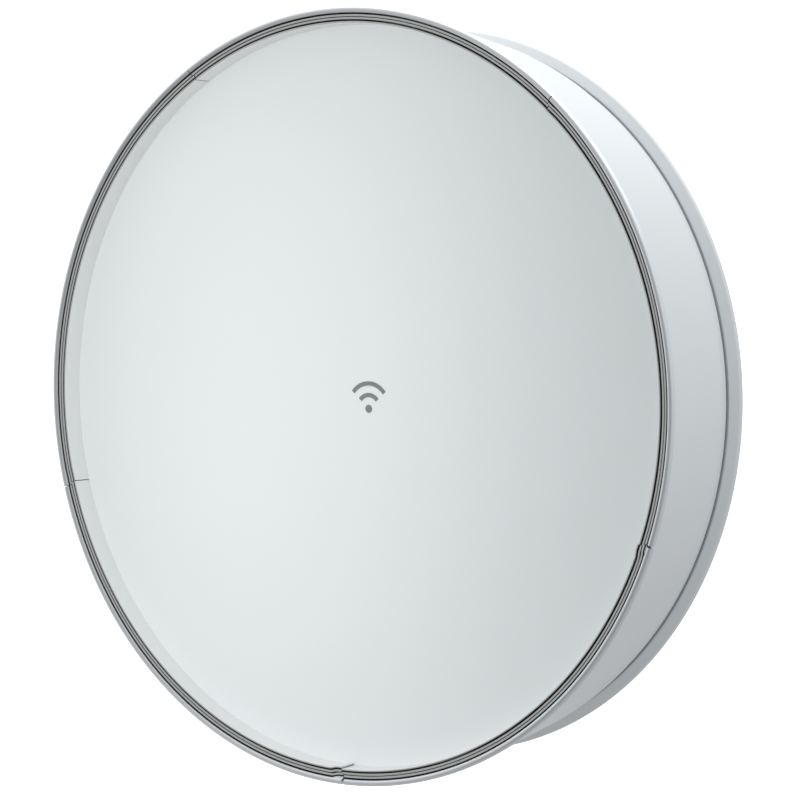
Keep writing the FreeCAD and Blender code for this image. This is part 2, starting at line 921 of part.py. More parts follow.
def make_reset():
    can = block("reset_can", (reset_x - 4, reset_x + 4), (board_back, board_back + 8), (reset_low, reset_low + 8))
    hole = rod("reset_bore", "z", (reset_x, reset_y, reset_low - 1), 6, s.reset_radius + s.bolt_play / 2)
    keep(cut("reset_switch", can, [hole]))
    start = (reset_x, reset_y, reset_low - s.reset_proud)
    keep(rod("reset_button", "z", start, s.reset_proud + 3, s.reset_radius))


def make_case_seal():
    body = new_body("case_seal")
    sketch = new_sketch(body, "XZ_Plane", -base_back)
    rounded_rectangle(sketch, half_width - 0.4, half_height - 0.4, s.housing_corner - 0.4)
    inner = s.case_wall - 0.2
    rounded_rectangle(sketch, half_width - inner, half_height - inner, s.housing_corner - inner)
    pad(body, sketch, s.case_seal, reverse=True)
    keep(body)


tongue_back = cover_back - s.case_wall - s.slide_gap
tongue_thick = 1.8


def make_cover():
    tray = shell("rear_cover_shell", cover_back, s.cover_depth, s.case_wall, False)
    solid = fuse("rear_cover_solid", [tray] + posts("rear_cover", cover_front, cover_back - 1) + cover_rails())
    below = -half_height - 1
    tools = [block("cover_bay", (-bay_half, bay_half), (cover_front - 1, cover_back + 1), (below, bay_top))]
    tools.append(block("cover_window", (-bay_half, bay_half), (cover_back - s.case_wall - 0.5, cover_back + 1),
                       (below, bay_top)))
    for index, (x, z) in enumerate(post_places()):
        tools.append(rod(f"cover_screw_hole_{index}", "y", (x, cover_front - 1, z), 60, s.m3_radius + s.edge_gap))
        tools.append(rod(f"cover_sink_{index}", "y", (x, cover_back - 3, z), 5, 3.4))
    slot = bay_half + 2.6 + s.slide_gap
    tools.append(block("cover_tongue_slot", (-slot, slot),
                       (tongue_back - tongue_thick - s.slide_gap, tongue_back + s.slide_gap),
                       (below, -half_height + s.case_wall + 1)))
    lens_z = s.lens_length / 2
    lens_y = cover_front + s.cover_depth / 2
    tools.append(block("cover_lens_slot", (half_width - 6, half_width + 1),
                       (lens_y - s.lens_width / 2 - 0.1, lens_y + s.lens_width / 2 + 0.1), (-lens_z - 0.1, lens_z + 0.1)))
    tools.append(rod("cover_vent_hole", "y", (0, cover_back - 6, half_height - 22), 10, s.vent_radius - 2))
    keep(cut("rear_cover", solid, tools))


def cover_rails():
    """Two ribs under the back wall that hold the port cover's tongues."""
    rails = []
    for index, side in enumerate((-1, 1)):
        near = bay_half + 3
        far = bay_half + 5
        x = (near, far) if side > 0 else (-far, -near)
        rails.append(block(f"cover_rail_{index}", x, (cover_back - 8, cover_back - 1),
                           (-half_height + 4, bay_top + 6)))
    return rails


def make_cover_fittings():
    screws = []
    for index, (x, z) in enumerate(post_places()):
        screws.append(bolt(f"cover_screw_{index}", "y", (x, cover_back - 3, z), s.cover_depth + 4,
                           s.m3_radius, 5.5, 2.4, -1))
    keep(group("cover_screws", screws))
    lens_z = s.lens_length / 2
    lens_y = cover_front + s.cover_depth / 2
    wide = s.lens_width / 2
    keep(block("status_lens", (half_width - s.case_wall - 1.5, half_width + 0.3),
               (lens_y - wide, lens_y + wide), (-lens_z, lens_z)))
    stem = rod("vent_stem", "y", (0, cover_back - 5, half_height - 22), 5, s.vent_radius - 2.2)
    disc = rod("vent_disc", "y", (0, cover_back, half_height - 22), 2, s.vent_radius)
    keep(fuse("vent_plug", [stem, disc]))


def make_port_cover():
    """Slides down out of the rear cover's bay, with a floor that carries the cable grommet."""
    gap = s.slide_gap
    half = bay_half - gap
    wall = s.case_wall
    top = bay_top - gap
    low = -half_height
    face = block("port_face", (-half, half), (tongue_back - tongue_thick, cover_back), (low, top))
    tongue = block("port_tongue", (-(bay_half + 2.6), bay_half + 2.6), (tongue_back - tongue_thick, tongue_back),
                   (low + 6, top + 5))
    floor = block("port_floor", (-half, half), (cover_front + 0.6, cover_back - 1), (low, low + wall))
    hole = rod("port_cable_hole", "z", (0, jack_centre, low - 1), 6, s.grommet_radius - 1.5)
    latch = block("port_latch_hole", (-(s.latch_width / 2 + gap), s.latch_width / 2 + gap),
                  (cover_back - 10, cover_back + 1), (latch_low - gap, latch_low + s.latch_height + gap))
    keep(cut("port_cover", fuse("port_solid", [face, tongue, floor]), [hole, latch]))


latch_low = -half_height + 8


def make_latch():
    half = s.latch_width / 2
    behind = tongue_back - tongue_thick - s.slide_gap
    top = latch_low + s.latch_height
    button = block("latch_button", (-half, half), (behind - 1, cover_back + 0.9), (latch_low, top))
    flange = block("latch_flange", (-half - 2, half + 2), (behind - 1.5, behind), (latch_low - 1.5, top + 1.5))
    keep(fuse("port_latch", [button, flange]))


def make_grommet():
    low = -half_height
    neck = s.grommet_radius - 1.7
    disc = rod("grommet_disc", "z", (0, jack_centre, low - 2), 2, s.grommet_radius)
    stem = rod("grommet_stem", "z", (0, jack_centre, low), s.case_wall, neck)
    top = rod("grommet_top", "z", (0, jack_centre, low + s.case_wall), 1.4, s.grommet_radius - 0.6)
    solid = fuse("grommet_solid", [disc, stem, top])
    keep(cut("cable_grommet", solid, [rod("grommet_bore", "z", (0, jack_centre, low - 3), 10, s.cable_radius)]))


# ---------------------------------------------------------------- tilting bracket

head_width = s.bolt_radius * 2 + s.head_rim * 2
lock_y = pivot_y + s.lock_radius
plate_front = hub_back
plate_back = plate_front + s.plate_thick
clamp_bolt_x = s.pole_radius + s.clamp_bolt_gap
ear_inset = clamp_bolt_x + s.ear_step
ear_outer = ear_inset + s.ear_thick
outer_ear_inner = ear_outer + s.washer_thick
outer_ear_outer = outer_ear_inner + s.ear_thick
bolt_hole = s.bolt_radius + s.bolt_fit


def make_dish_bracket():
    body = new_body("dish_bracket")
    plate = new_sketch(body, "XZ_Plane", -plate_front)
    circle(plate, 0, 0, s.plate_radius)
    gap = s.plate_clearance
    rounded_rectangle(plate, half_width + gap, half_height + gap, s.housing_corner + gap)
    pad(body, plate, s.plate_thick, reverse=True)
    ear = new_sketch(body, "YZ_Plane", ear_inset)
    tip = lock_y + s.lock_margin + s.bolt_radius
    half = s.ear_half_height
    outline(ear, [
        (plate_front, -half - 12), (plate_back, -half - 12), (plate_back + 12, -half), (tip - 10, -half),
        (tip, -half + 10), (tip, half - 10), (tip - 10, half), (plate_back + 12, half),
        (plate_back, half + 12), (plate_front, half + 12)])
    one = pad(body, ear, s.ear_thick)
    doc.recompute()
    mirror = body.newObject("PartDesign::Mirrored", "dish_bracket_mirror")
    mirror.Originals = [one]
    side = [item for item in body.Origin.OriginFeatures if item.Role == "YZ_Plane"][0]
    mirror.MirrorPlane = (side, [""])
    body.Tip = mirror
    holes = new_sketch(body, "YZ_Plane")
    circle(holes, pivot_y, 0, bolt_hole)
    circle(holes, lock_y, 0, bolt_hole)
    pocket(body, holes)
    bolts = new_sketch(body, "XZ_Plane")
    for x in (-s.hub_bolt_x, s.hub_bolt_x):
        for z in (-s.hub_bolt_z, s.hub_bolt_z):
            circle(bolts, x, z, s.m6_radius + s.bolt_fit)
    circle(bolts, 0, -ground_drop, s.m6_radius + s.bolt_fit)
    pocket(body, bolts)
    keep(body)


ground_drop = half_height + s.plate_clearance + 14


def make_hub_fasteners():
    bolts = []
    nuts = []
    for index, (x, z) in enumerate([(x, z) for x in (-s.hub_bolt_x, s.hub_bolt_x)
                                    for z in (-s.hub_bolt_z, s.hub_bolt_z)]):
        bolts.append(bolt(f"hub_bolt_{index}", "y", (x, hub_front, z), s.sheet_thick + s.plate_thick + 8,
                          s.m6_radius, 10, 4, 1))
        nuts.append(nut(f"hub_nut_{index}", "y", (x, plate_back, z), 5, 10, s.m6_radius + s.bolt_fit))
    keep(group("hub_bolts", bolts))
    keep(group("hub_nuts", nuts))
    lug = block("lug_tab", (-5, 5), (plate_back, plate_back + 1.2), (-ground_drop - 6, -ground_drop + 6))
    hole = rod("lug_hole", "y", (0, plate_back - 1, -ground_drop), 5, s.m6_radius + s.bolt_fit)
    keep(cut("ground_lug", lug, [hole]))
    keep(bolt("ground_screw", "y", (0, plate_back + 1.2, -ground_drop), s.plate_thick + 1.2,
              s.m6_radius, 9, 3, -1), "ground_screw")


def make_pole_bracket():
    body = new_body("pole_bracket")
    web = new_sketch(body, "XZ_Plane", -web_front)
    half_x = outer_ear_outer
    half_z = s.web_height / 2
    rectangle(web, -half_x, half_x, -half_z, half_z)
    pad(body, web, s.web_thick, reverse=True)
    ear = new_sketch(body, "YZ_Plane", outer_ear_inner)
    root = half_z - 15
    nose = s.pivot_round
    outline(ear, [
        (web_back, -root), (web_back, root), (web_front - 8, root), (pivot_y, nose, nose, False),
        (pivot_y - nose, 0, nose, False), (pivot_y, -nose), (web_front - 8, -root)])
    one = pad(body, ear, s.ear_thick)
    doc.recompute()
    mirror = body.newObject("PartDesign::Mirrored", "pole_bracket_mirror")
    mirror.Originals = [one]
    side = [item for item in body.Origin.OriginFeatures if item.Role == "YZ_Plane"][0]
    mirror.MirrorPlane = (side, [""])
    body.Tip = mirror
    holes = new_sketch(body, "YZ_Plane")
    circle(holes, pivot_y, 0, bolt_hole)
    slot_outline(holes)
    pocket(body, holes)
    bolts = new_sketch(body, "XZ_Plane")
    for x, z in clamp_places():
        circle(bolts, x, z, s.bolt_radius + s.bolt_fit)
    rounded_window(bolts)
    pocket_web(body, bolts)
    keep(body)


def rounded_window(sketch):
    """The cable window in the middle of the web."""
    rounded_rectangle(sketch, size(22), size(16), size(6))


def pocket_web(body, sketch):
    """Cuts a sketch through the web alone."""
    sketch.setExpression("AttachmentOffset.Base.z", (-(web_front - 1)).text)
    pocket(body, sketch, s.web_thick + 2)


def slot_outline(sketch):
    """The tilt slot: an arc about the pivot, as long as the tilt needs."""
    reach = s.tilt_angle + 1.5
    play = s.bolt_radius + s.bolt_play
    near = s.lock_radius - play
    far = s.lock_radius + play
    high = sine(reach)
    wide = cosine(reach)
    tip_y = pivot_y + s.lock_radius * wide - play * high
    tip_z = s.lock_radius * high + play * wide
    outline(sketch, [
        (pivot_y + near * wide, near * high, near, True),
        (pivot_y + near * wide, -near * high, play, False),
        (tip_y, -tip_z, play, False),
        (pivot_y + far * wide, -far * high, far, False),
        (pivot_y + far * wide, far * high, play, False),
        (tip_y, tip_z, play, False),
    ])


def clamp_places():
    return [(x, z) for x in (-clamp_bolt_x, clamp_bolt_x)
            for z in (-s.saddle_spacing / 2, s.saddle_spacing / 2)]


def make_tilt_fasteners():
    pivots = []
    pivot_nuts = []
    slips = []
    locks = []
    lock_nuts = []
    lock_washers = []
    grip = outer_ear_outer - ear_inset + s.nut_height + 1
    for index, side in enumerate((-1, 1)):
        washer_start = outer_ear_outer if side > 0 else -outer_ear_outer - 1.6
        nut_start = ear_inset - s.nut_height if side > 0 else -ear_inset
        slip_start = ear_outer if side > 0 else -outer_ear_inner
        head = outer_ear_outer * side
        pivots.append(bolt(f"pivot_bolt_{index}", "x", (head, pivot_y, 0), grip, s.bolt_radius,
                           head_width, s.head_height, -side))
        pivot_nuts.append(nut(f"pivot_nut_{index}", "x", (nut_start, pivot_y, 0), s.nut_height,
                              head_width, bolt_hole))
        slips.append(washer(f"pivot_washer_{index}", "x", (slip_start, pivot_y, 0), s.washer_thick, 12, bolt_hole))
        lock_seat = (outer_ear_outer + 1.6) * side
        locks.append(bolt(f"lock_bolt_{index}", "x", (lock_seat, lock_y, 0), grip + 1.6, s.bolt_radius,
                          head_width, s.head_height, -side))
        lock_nuts.append(nut(f"lock_nut_{index}", "x", (nut_start, lock_y, 0), s.nut_height,
                             head_width, bolt_hole))
        lock_washers.append(washer(f"lock_washer_{index}", "x", (washer_start, lock_y, 0), 1.6, 10, bolt_hole))
    for label, items in (("pivot_bolts", pivots), ("pivot_nuts", pivot_nuts), ("pivot_washers", slips),
                         ("lock_bolts", locks), ("lock_nuts", lock_nuts), ("lock_washers", lock_washers)):
        keep(group(label, items))


# ---------------------------------------------------------------- pole clamp

def clamp_block(label, outline_points, centre_z, hole_radius):
    """A saddle or jaw: one outline across the pole, drilled for the two clamp bolts."""
    body = new_body(label)
    low = centre_z - s.saddle_height / 2
    sketch = new_sketch(body, "XY_Plane", low)
    outline(sketch, outline_points)
    pad(body, sketch, s.saddle_height)
    holes = new_sketch(body, "XZ_Plane")
    for x in (-clamp_bolt_x, clamp_bolt_x):
        circle(holes, x, centre_z, hole_radius)
    pocket(body, holes)
    return body


def grip_half_width():
    """Half the width of the pole's cradle at the tips of a saddle or jaw."""
    return root(s.pole_radius * s.pole_radius - s.saddle_tip * s.saddle_tip)


def make_clamp():
    cradle = grip_half_width()
    bolt_x = clamp_bolt_x
    wide = bolt_x + s.clamp_edge
    tip = s.saddle_tip
    radius = s.pole_radius
    saddle = [
        (-wide, web_back), (wide, web_back), (wide, web_back + 8), (cradle + 8, -tip), (cradle, -tip, radius, True),
        (0, -radius, radius, True), (-cradle, -tip), (-cradle - 8, -tip), (-wide, web_back + 8)]
    nut_seat = tip + s.jaw_lug_thick
    jaw_back = radius + s.jaw_thick
    lug = bolt_x - 9
    jaw = [
        (-wide, tip + 8), (-cradle - 8, tip), (-cradle, tip, radius, True), (0, radius, radius, True),
        (cradle, tip), (cradle + 8, tip), (wide, tip + 8), (wide, nut_seat), (lug, nut_seat),
        (lug - 6, jaw_back), (-(lug - 6), jaw_back), (-lug, nut_seat), (-wide, nut_seat)]
    bolts = []
    for name, sign in (("lower", -1), ("upper", 1)):
        centre = s.saddle_spacing / 2 * sign
        keep(clamp_block(f"{name}_saddle", saddle, centre, s.bolt_radius + s.bolt_fit))
        keep(clamp_block(f"{name}_jaw", jaw, centre, s.bolt_radius + s.bolt_play), f"{name}_jaw")
        nuts = []
        washers = []
        for index, x in enumerate((-bolt_x, bolt_x)):
            start = (x, nut_seat, centre)
            washers.append(washer(f"{name}_jaw_washer_{index}", "y", start, 1.6, 8, s.bolt_radius + s.bolt_fit))
            nuts.append(nut(f"{name}_jaw_nut_{index}", "y", shifted(start, "y", 1.6), s.nut_height,
                            head_width, s.bolt_radius + s.bolt_fit))
            bolts.append(bolt(f"{name}_clamp_bolt_{index}", "y", (x, web_front, centre),
                              s.clamp_bolt_reach - web_front, s.bolt_radius, head_width, 4, 1))
        keep(group(f"{name}_jaw_washers", washers))
        keep(group(f"{name}_jaw_nuts", nuts))
    keep(group("clamp_bolts", bolts))


# ---------------------------------------------------------------- assembly

keep(make_reflector())
keep(make_shroud())
keep(make_rim_seal())
rim_fasteners()
make_aperture()
make_emblem()
make_feed()
make_feed_screws()
make_base()
make_board()
make_heat_sink()
make_jack()
make_reset()
make_case_seal()
make_cover()
make_cover_fittings()
make_port_cover()
make_latch()
make_grommet()
make_dish_bracket()
make_hub_fasteners()
make_pole_bracket()
make_tilt_fasteners()
make_clamp()
doc.recompute()

for item in doc.Objects:
    if "Invalid" in item.State or "Error" in item.State:
        raise RuntimeError(f"{item.Name} failed: {item.State}")
for item in parts:
    if item.Shape.isNull() or not item.Shape.isValid() or not item.Shape.Solids:
        raise RuntimeError(f"{item.Label} has no valid solid")

os.makedirs("parts", exist_ok=True)
for item in parts:
    item.Shape.exportStep(f"parts/{item.Label}.step")
    print(item.Label, len(item.Shape.Solids), round(item.Shape.Volume / 1000, 2))
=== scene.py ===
import json
import math
from collections import namedtuple
from functools import lru_cache

import bmesh
import bpy
from bpy.props import FloatProperty, FloatVectorProperty, IntProperty, PointerProperty
from mathutils import Matrix, Vector


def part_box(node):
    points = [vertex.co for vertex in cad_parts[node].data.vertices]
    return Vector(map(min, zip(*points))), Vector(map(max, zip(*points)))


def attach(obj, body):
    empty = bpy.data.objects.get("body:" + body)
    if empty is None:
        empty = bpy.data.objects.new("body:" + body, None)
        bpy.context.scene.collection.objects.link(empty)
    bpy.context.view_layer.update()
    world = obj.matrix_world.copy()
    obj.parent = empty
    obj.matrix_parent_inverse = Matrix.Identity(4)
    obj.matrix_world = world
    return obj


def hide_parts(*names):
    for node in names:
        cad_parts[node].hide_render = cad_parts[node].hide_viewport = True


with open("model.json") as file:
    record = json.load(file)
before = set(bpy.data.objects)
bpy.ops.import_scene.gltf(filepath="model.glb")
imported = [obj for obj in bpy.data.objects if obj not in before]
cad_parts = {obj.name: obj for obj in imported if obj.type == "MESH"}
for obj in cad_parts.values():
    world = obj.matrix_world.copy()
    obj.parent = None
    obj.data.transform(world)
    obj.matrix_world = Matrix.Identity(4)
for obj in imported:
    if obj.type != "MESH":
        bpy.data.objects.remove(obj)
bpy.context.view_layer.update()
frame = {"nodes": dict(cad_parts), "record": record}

# Outdoor wireless bridge: a dish radio with a shrouded, covered aperture on a tilting pole mount.
# Metres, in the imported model's frame: origin on the pole clamp's axis, +Z up the pole, boresight along -Y.

bl_info = {
    "name": "Wireless Bridge",
    "version": (1, 0, 0),
    "blender": (4, 5, 0),
    "location": "3D View > Sidebar > Bridge",
    "description": "Builds the visible pieces, finishes and studio of an outdoor wireless bridge",
    "category": "Object",
}

MM = 0.001
# How near two points are one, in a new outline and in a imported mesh.
WELD = 1e-7
CAD_WELD = 1e-6
# Rounding of the spun sheets: their cut edges, their front edges and holes, and the fold from rim to bowl.
CUT_EDGE = 0.6 * MM
FRONT_EDGE = 0.5 * MM
SOFT_FOLD = 0.8 * MM
# The stretch of a noise's range where most of its values lie.
GRAIN = (0.3, 0.7)
BODY_OF = {node: body for body, nodes in frame["record"]["behaviour"]["bodies"].items() for node in nodes}
SLOT_OF = {part["node"]: part["material_slot"] for part in frame["record"]["subparts"]}
STRIPS = sorted(node for node in BODY_OF if node.startswith("choke_strip_"))
Stations = namedtuple("Stations", "front back floor inner outer")


@lru_cache(maxsize=None)
def low(node):
    """A CAD node's lowest corner."""
    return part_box(node)[0]


@lru_cache(maxsize=None)
def high(node):
    """A CAD node's highest corner."""
    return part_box(node)[1]


# ---------------------------------------------------------------- settings

def length(name, description, default, least=0.0):
    return FloatProperty(name=name, description=description, default=default, min=least,
                         subtype="DISTANCE", unit="LENGTH", precision=5)


def turn(name, description, degrees):
    return FloatProperty(name=name, description=description, default=math.radians(degrees), subtype="ANGLE")


def colour(name, description, default):
    return FloatVectorProperty(name=name, description=description, default=default, size=3,
                               min=0.0, max=1.0, subtype="COLOR")


class BridgeSizes(bpy.types.PropertyGroup):
    """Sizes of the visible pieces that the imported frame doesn't give."""
    sheet: length("Sheet", "Thickness of the spun shroud and reflector", 1.5 * MM)
    bend: length("Bend", "Inner radius of the folds in the spun sheets", 1.6 * MM)
    ring_steps: IntProperty(name="Ring steps", description="Faces around each large ring",
                            default=256, min=64)
    neck_radius: length("Neck", "Outer radius of the shroud's neck", high("rim_seal").x - 0.5 * MM)
    neck_step: length("Neck step", "How far the wall stands out from the neck", 5.2 * MM)
    neck_length: length("Neck length", "Straight length of the neck", 10.2 * MM)
    neck_slope: length("Neck slope", "Length of the slope from neck to wall", 4.0 * MM)
    seat_land: length("Seat land", "Width of the shroud's seat on the reflector rim", 10.5 * MM)
    ledge_width: length("Ledge", "Width of the ledge that carries the radome", 14.0 * MM)
    strip_width: length("Strip width", "Radial width of the choke ring's face", 13.7 * MM)
    strip_leg: length("Strip leg", "Thickness of the choke strip's inner wall", 1.4 * MM)
    strip_lean: length("Strip lean", "How far the inner wall leans in at the radome", 1.8 * MM)
    strip_groove: length("Groove", "Width of the groove behind the inner wall", 1.4 * MM)
    strip_fin: length("Fin", "Thickness of a choke fin", 1.9 * MM)
    strip_slot: length("Slot", "Width of the slot between the two fins", 0.6 * MM)
    strip_floor: length("Strip floor", "Thickness of the floor under the fins", 1.7 * MM)
    strip_bead: length("Bead", "Width of the rounded outer bead", 5.0 * MM)
    bead_ahead: length("Bead ahead", "How far the bead stands ahead of the inner wall", 1.0 * MM)
    strip_hook: length("Hook", "How far the bead's lip reaches back over the wall", 4.2 * MM)
    strip_first: turn("First joint", "Where the first joint lies, clockwise from the top", 38.6)
    strip_lap: turn("Lap", "How far a strip's inner half laps past its outer half", 0.4)
    strip_seam: turn("Seam", "Gap between the ends of two strips", 0.12)
    bead_seams: FloatVectorProperty(name="Bead seams", size=5, subtype="NONE", unit="ROTATION",
                                    description="How far the bead stays short of each joint, in radians",
                                    default=(0.0002, 0.0017, 0.0030, 0.0003, 0.0002))
    joggles: FloatVectorProperty(name="Joggles", size=5, subtype="NONE", unit="LENGTH",
                                 description="How far each strip's lapping end steps inward",
                                 default=(0.4 * MM, 1.3 * MM, 1.7 * MM, 0.4 * MM, 0.0))


class BridgeColours(bpy.types.PropertyGroup):
    """Base colours of the finishes."""
    white_paint: colour("White paint", "Powder coat on the shroud and reflector", (0.83, 0.85, 0.86))
    radome: colour("Radome", "Moulded radome face", (0.86, 0.892, 0.888))
    # Darker than the bead's metal, though both are one extrusion: painted shade of the deep grooves between
    # the fins.
    choke: colour("Choke metal", "Bare extruded choke strips", (0.66, 0.66, 0.64))
    # Lighter and cooler than the fins' metal, though both are one extrusion: painted reflection of the bright
    # surroundings on the bead.
    bead: colour("Bead", "Smooth outer bead of the choke strips", (0.78, 0.79, 0.805))
    strip_wall: colour("Strip wall", "Paint on the choke strips' inner wall", (0.84, 0.85, 0.845))
    ink: colour("Emblem ink", "Printed emblem", (0.23, 0.248, 0.24))
    white_plastic: colour("White plastic", "Radio housing", (0.80, 0.81, 0.81))
    galvanised: colour("Galvanised steel", "Brackets", (0.50, 0.51, 0.52))
    zinc: colour("Zinc plate", "Bolts, nuts and washers", (0.55, 0.56, 0.58))
    cast: colour("Cast aluminium", "Pole saddles and jaws", (0.46, 0.465, 0.475))
    rubber: colour("Rubber", "Seals and grommet", (0.025, 0.025, 0.027))
    silicone: colour("Silicone", "Seal between shroud and reflector", (0.40, 0.41, 0.44))
    aluminium: colour("Bright aluminium", "Machined and stamped metal", (0.75, 0.75, 0.76))
    brass: colour("Brass", "Tinned brass", (0.72, 0.6, 0.34))
    board: colour("Board", "Solder mask", (0.03, 0.2, 0.1))
    board_dark: colour("Dark board", "Solder mask over bare laminate", (0.025, 0.17, 0.085))
    track: colour("Track", "Solder mask over copper", (0.06, 0.3, 0.16))
    lens: colour("Lens", "Frosted light guide", (0.88, 0.93, 0.95))
    nylon: colour("Nylon", "Dark moulded nylon", (0.05, 0.05, 0.055))


class BridgeStudio(bpy.types.PropertyGroup):
    """Camera, floor and lights."""
    azimuth: turn("Azimuth", "Camera's turn from the boresight, to the right", 37.32)
    elevation: turn("Elevation", "Camera's height angle", 3.07)
    distance: length("Distance", "From the camera to its target", 10.188)
    target: FloatVectorProperty(name="Target", description="Point at the picture's centre",
                                default=(0.0467, -0.35705, -0.0011), subtype="TRANSLATION", unit="LENGTH")
    lens: FloatProperty(name="Lens", description="Focal length in millimetres", default=540.0)
    floor_drop: length("Floor drop", "How far the floor lies below the pole mount's origin", 1.2)
    floor_radius: length("Floor radius", "Size of the round floor", 120.0)
    floor_colour: colour("Floor", "Pale floor", (0.93, 0.93, 0.93))
    sky: FloatProperty(name="Sky", description="Strength of the soft light from above", default=0.94)
    ground: FloatProperty(name="Ground", description="Strength of the soft light from below", default=0.5)
    key: FloatProperty(name="Key", description="Power of the softbox, in watts", default=1.08)
    key_width: length("Key width", "Width of the softbox", 0.3)
    key_height: length("Key height", "Height of the softbox", 0.8)
    key_place: FloatVectorProperty(name="Key place", description="Centre of the softbox",
                                   default=(-0.13, -0.72, 0.0), subtype="TRANSLATION", unit="LENGTH")
    ahead: FloatProperty(name="Ahead", description="Share of the soft light that comes from in front",
                         default=0.5)
    left: FloatProperty(name="Left", description="Strength from the left, against the right's 1", default=1.6)
    zenith: FloatProperty(name="Zenith", description="Strength of the soft bright patch overhead",
                          default=1.35)
    zenith_edge: FloatProperty(name="Zenith edge", description="Cosine of the angle where the patch ends",
                               default=0.7)
    horizon: FloatProperty(name="Horizon", description="Sine of the angle where the light from above is full",
                           default=0.6)
    zenith_way: FloatVectorProperty(name="Zenith way", description="Direction of the bright patch",
                                    default=(-0.1, 0.5, 0.85), subtype="DIRECTION")
    floor_glow: FloatProperty(name="Floor glow", description="Light that the floor itself gives",
                              default=0.45)
    sky_tint: colour("Sky tint", "Colour of the soft light", (0.95, 0.98, 1.0))


# ---------------------------------------------------------------- mesh helpers

def wire(bm, points, closed=True, bend_steps=5):
    """Corners at (radius, station), joined in order; a third number rounds that corner to that radius."""
    corners = [bm.verts.new((point[0], point[1], 0.0)) for point in points]
    ends = corners[1:] + corners[:1] if closed else corners[1:]
    for start, end in zip(corners, ends):
        bm.edges.new((start, end))
    tangents = []
    for index, point in enumerate(points):
        if len(point) == 3:
            before = Vector(points[index - 1][:2]) - Vector(point[:2])
            after = Vector(points[(index + 1) % len(points)][:2]) - Vector(point[:2])
            tangents.append((corners[index], point[2] / math.tan(before.angle(after) / 2)))
    for corner, tangent in tangents:
        bmesh.ops.bevel(bm, geom=[corner], offset=tangent, offset_type="OFFSET", segments=bend_steps,
                        profile=0.5, affect="VERTICES", material=-1)


def spun(points, steps, closed=True):
    """A full ring or disc: the outline turned about the boresight."""
    bm = bmesh.new()
    wire(bm, points, closed)
    bmesh.ops.spin(bm, geom=bm.verts[:] + bm.edges[:], cent=(0, 0, 0), axis=(0, 1, 0),
                   angle=math.tau, steps=steps, use_merge=True)
    bmesh.ops.remove_doubles(bm, verts=bm.verts, dist=WELD)
    bmesh.ops.recalc_face_normals(bm, faces=bm.faces)
    return bm


def poured(part, bm):
    """Adds one bmesh to another and frees it."""
    mesh = bpy.data.meshes.new("poured")
    part.to_mesh(mesh)
    part.free()
    bm.from_mesh(mesh)
    bpy.data.meshes.remove(mesh)


def piece_from(bm, name, node, materials, crease=38.0):
    """Makes the bmesh a piece, with the given materials, that rides with a CAD node and stands for it, the
    node being hidden.
    """
    mesh = bpy.data.meshes.new(name)
    for face in bm.faces:
        face.smooth = True
    bm.to_mesh(mesh)
    bm.free()
    mesh.set_sharp_from_angle(angle=math.radians(crease))
    for material in materials:
        mesh.materials.append(material)
    piece = bpy.data.objects.new(name, mesh)
    bpy.context.scene.collection.objects.link(piece)
    weighted = piece.modifiers.new("Even shading", "WEIGHTED_NORMAL")
    weighted.keep_sharp = True
    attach(piece, BODY_OF[node])
    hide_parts(node)


# ---------------------------------------------------------------- finishes

def graded(tree, source, start, end, least, most):
    """A node whose result runs from least to most while the source goes from start to end."""
    node = tree.nodes.new("ShaderNodeMapRange")
    for name, value in (("From Min", start), ("From Max", end), ("To Min", least), ("To Max", most)):
        node.inputs[name].default_value = value
    tree.links.new(source, node.inputs["Value"])
    return node


def worked_out(tree, operation, *values):
    """The result of one operation on sockets and numbers."""
    node = tree.nodes.new("ShaderNodeMath")
    node.operation = operation
    for slot, value in zip(node.inputs, values):
        if isinstance(value, (int, float)):
            slot.default_value = value
        else:
            tree.links.new(value, slot)
    return node.outputs["Value"]


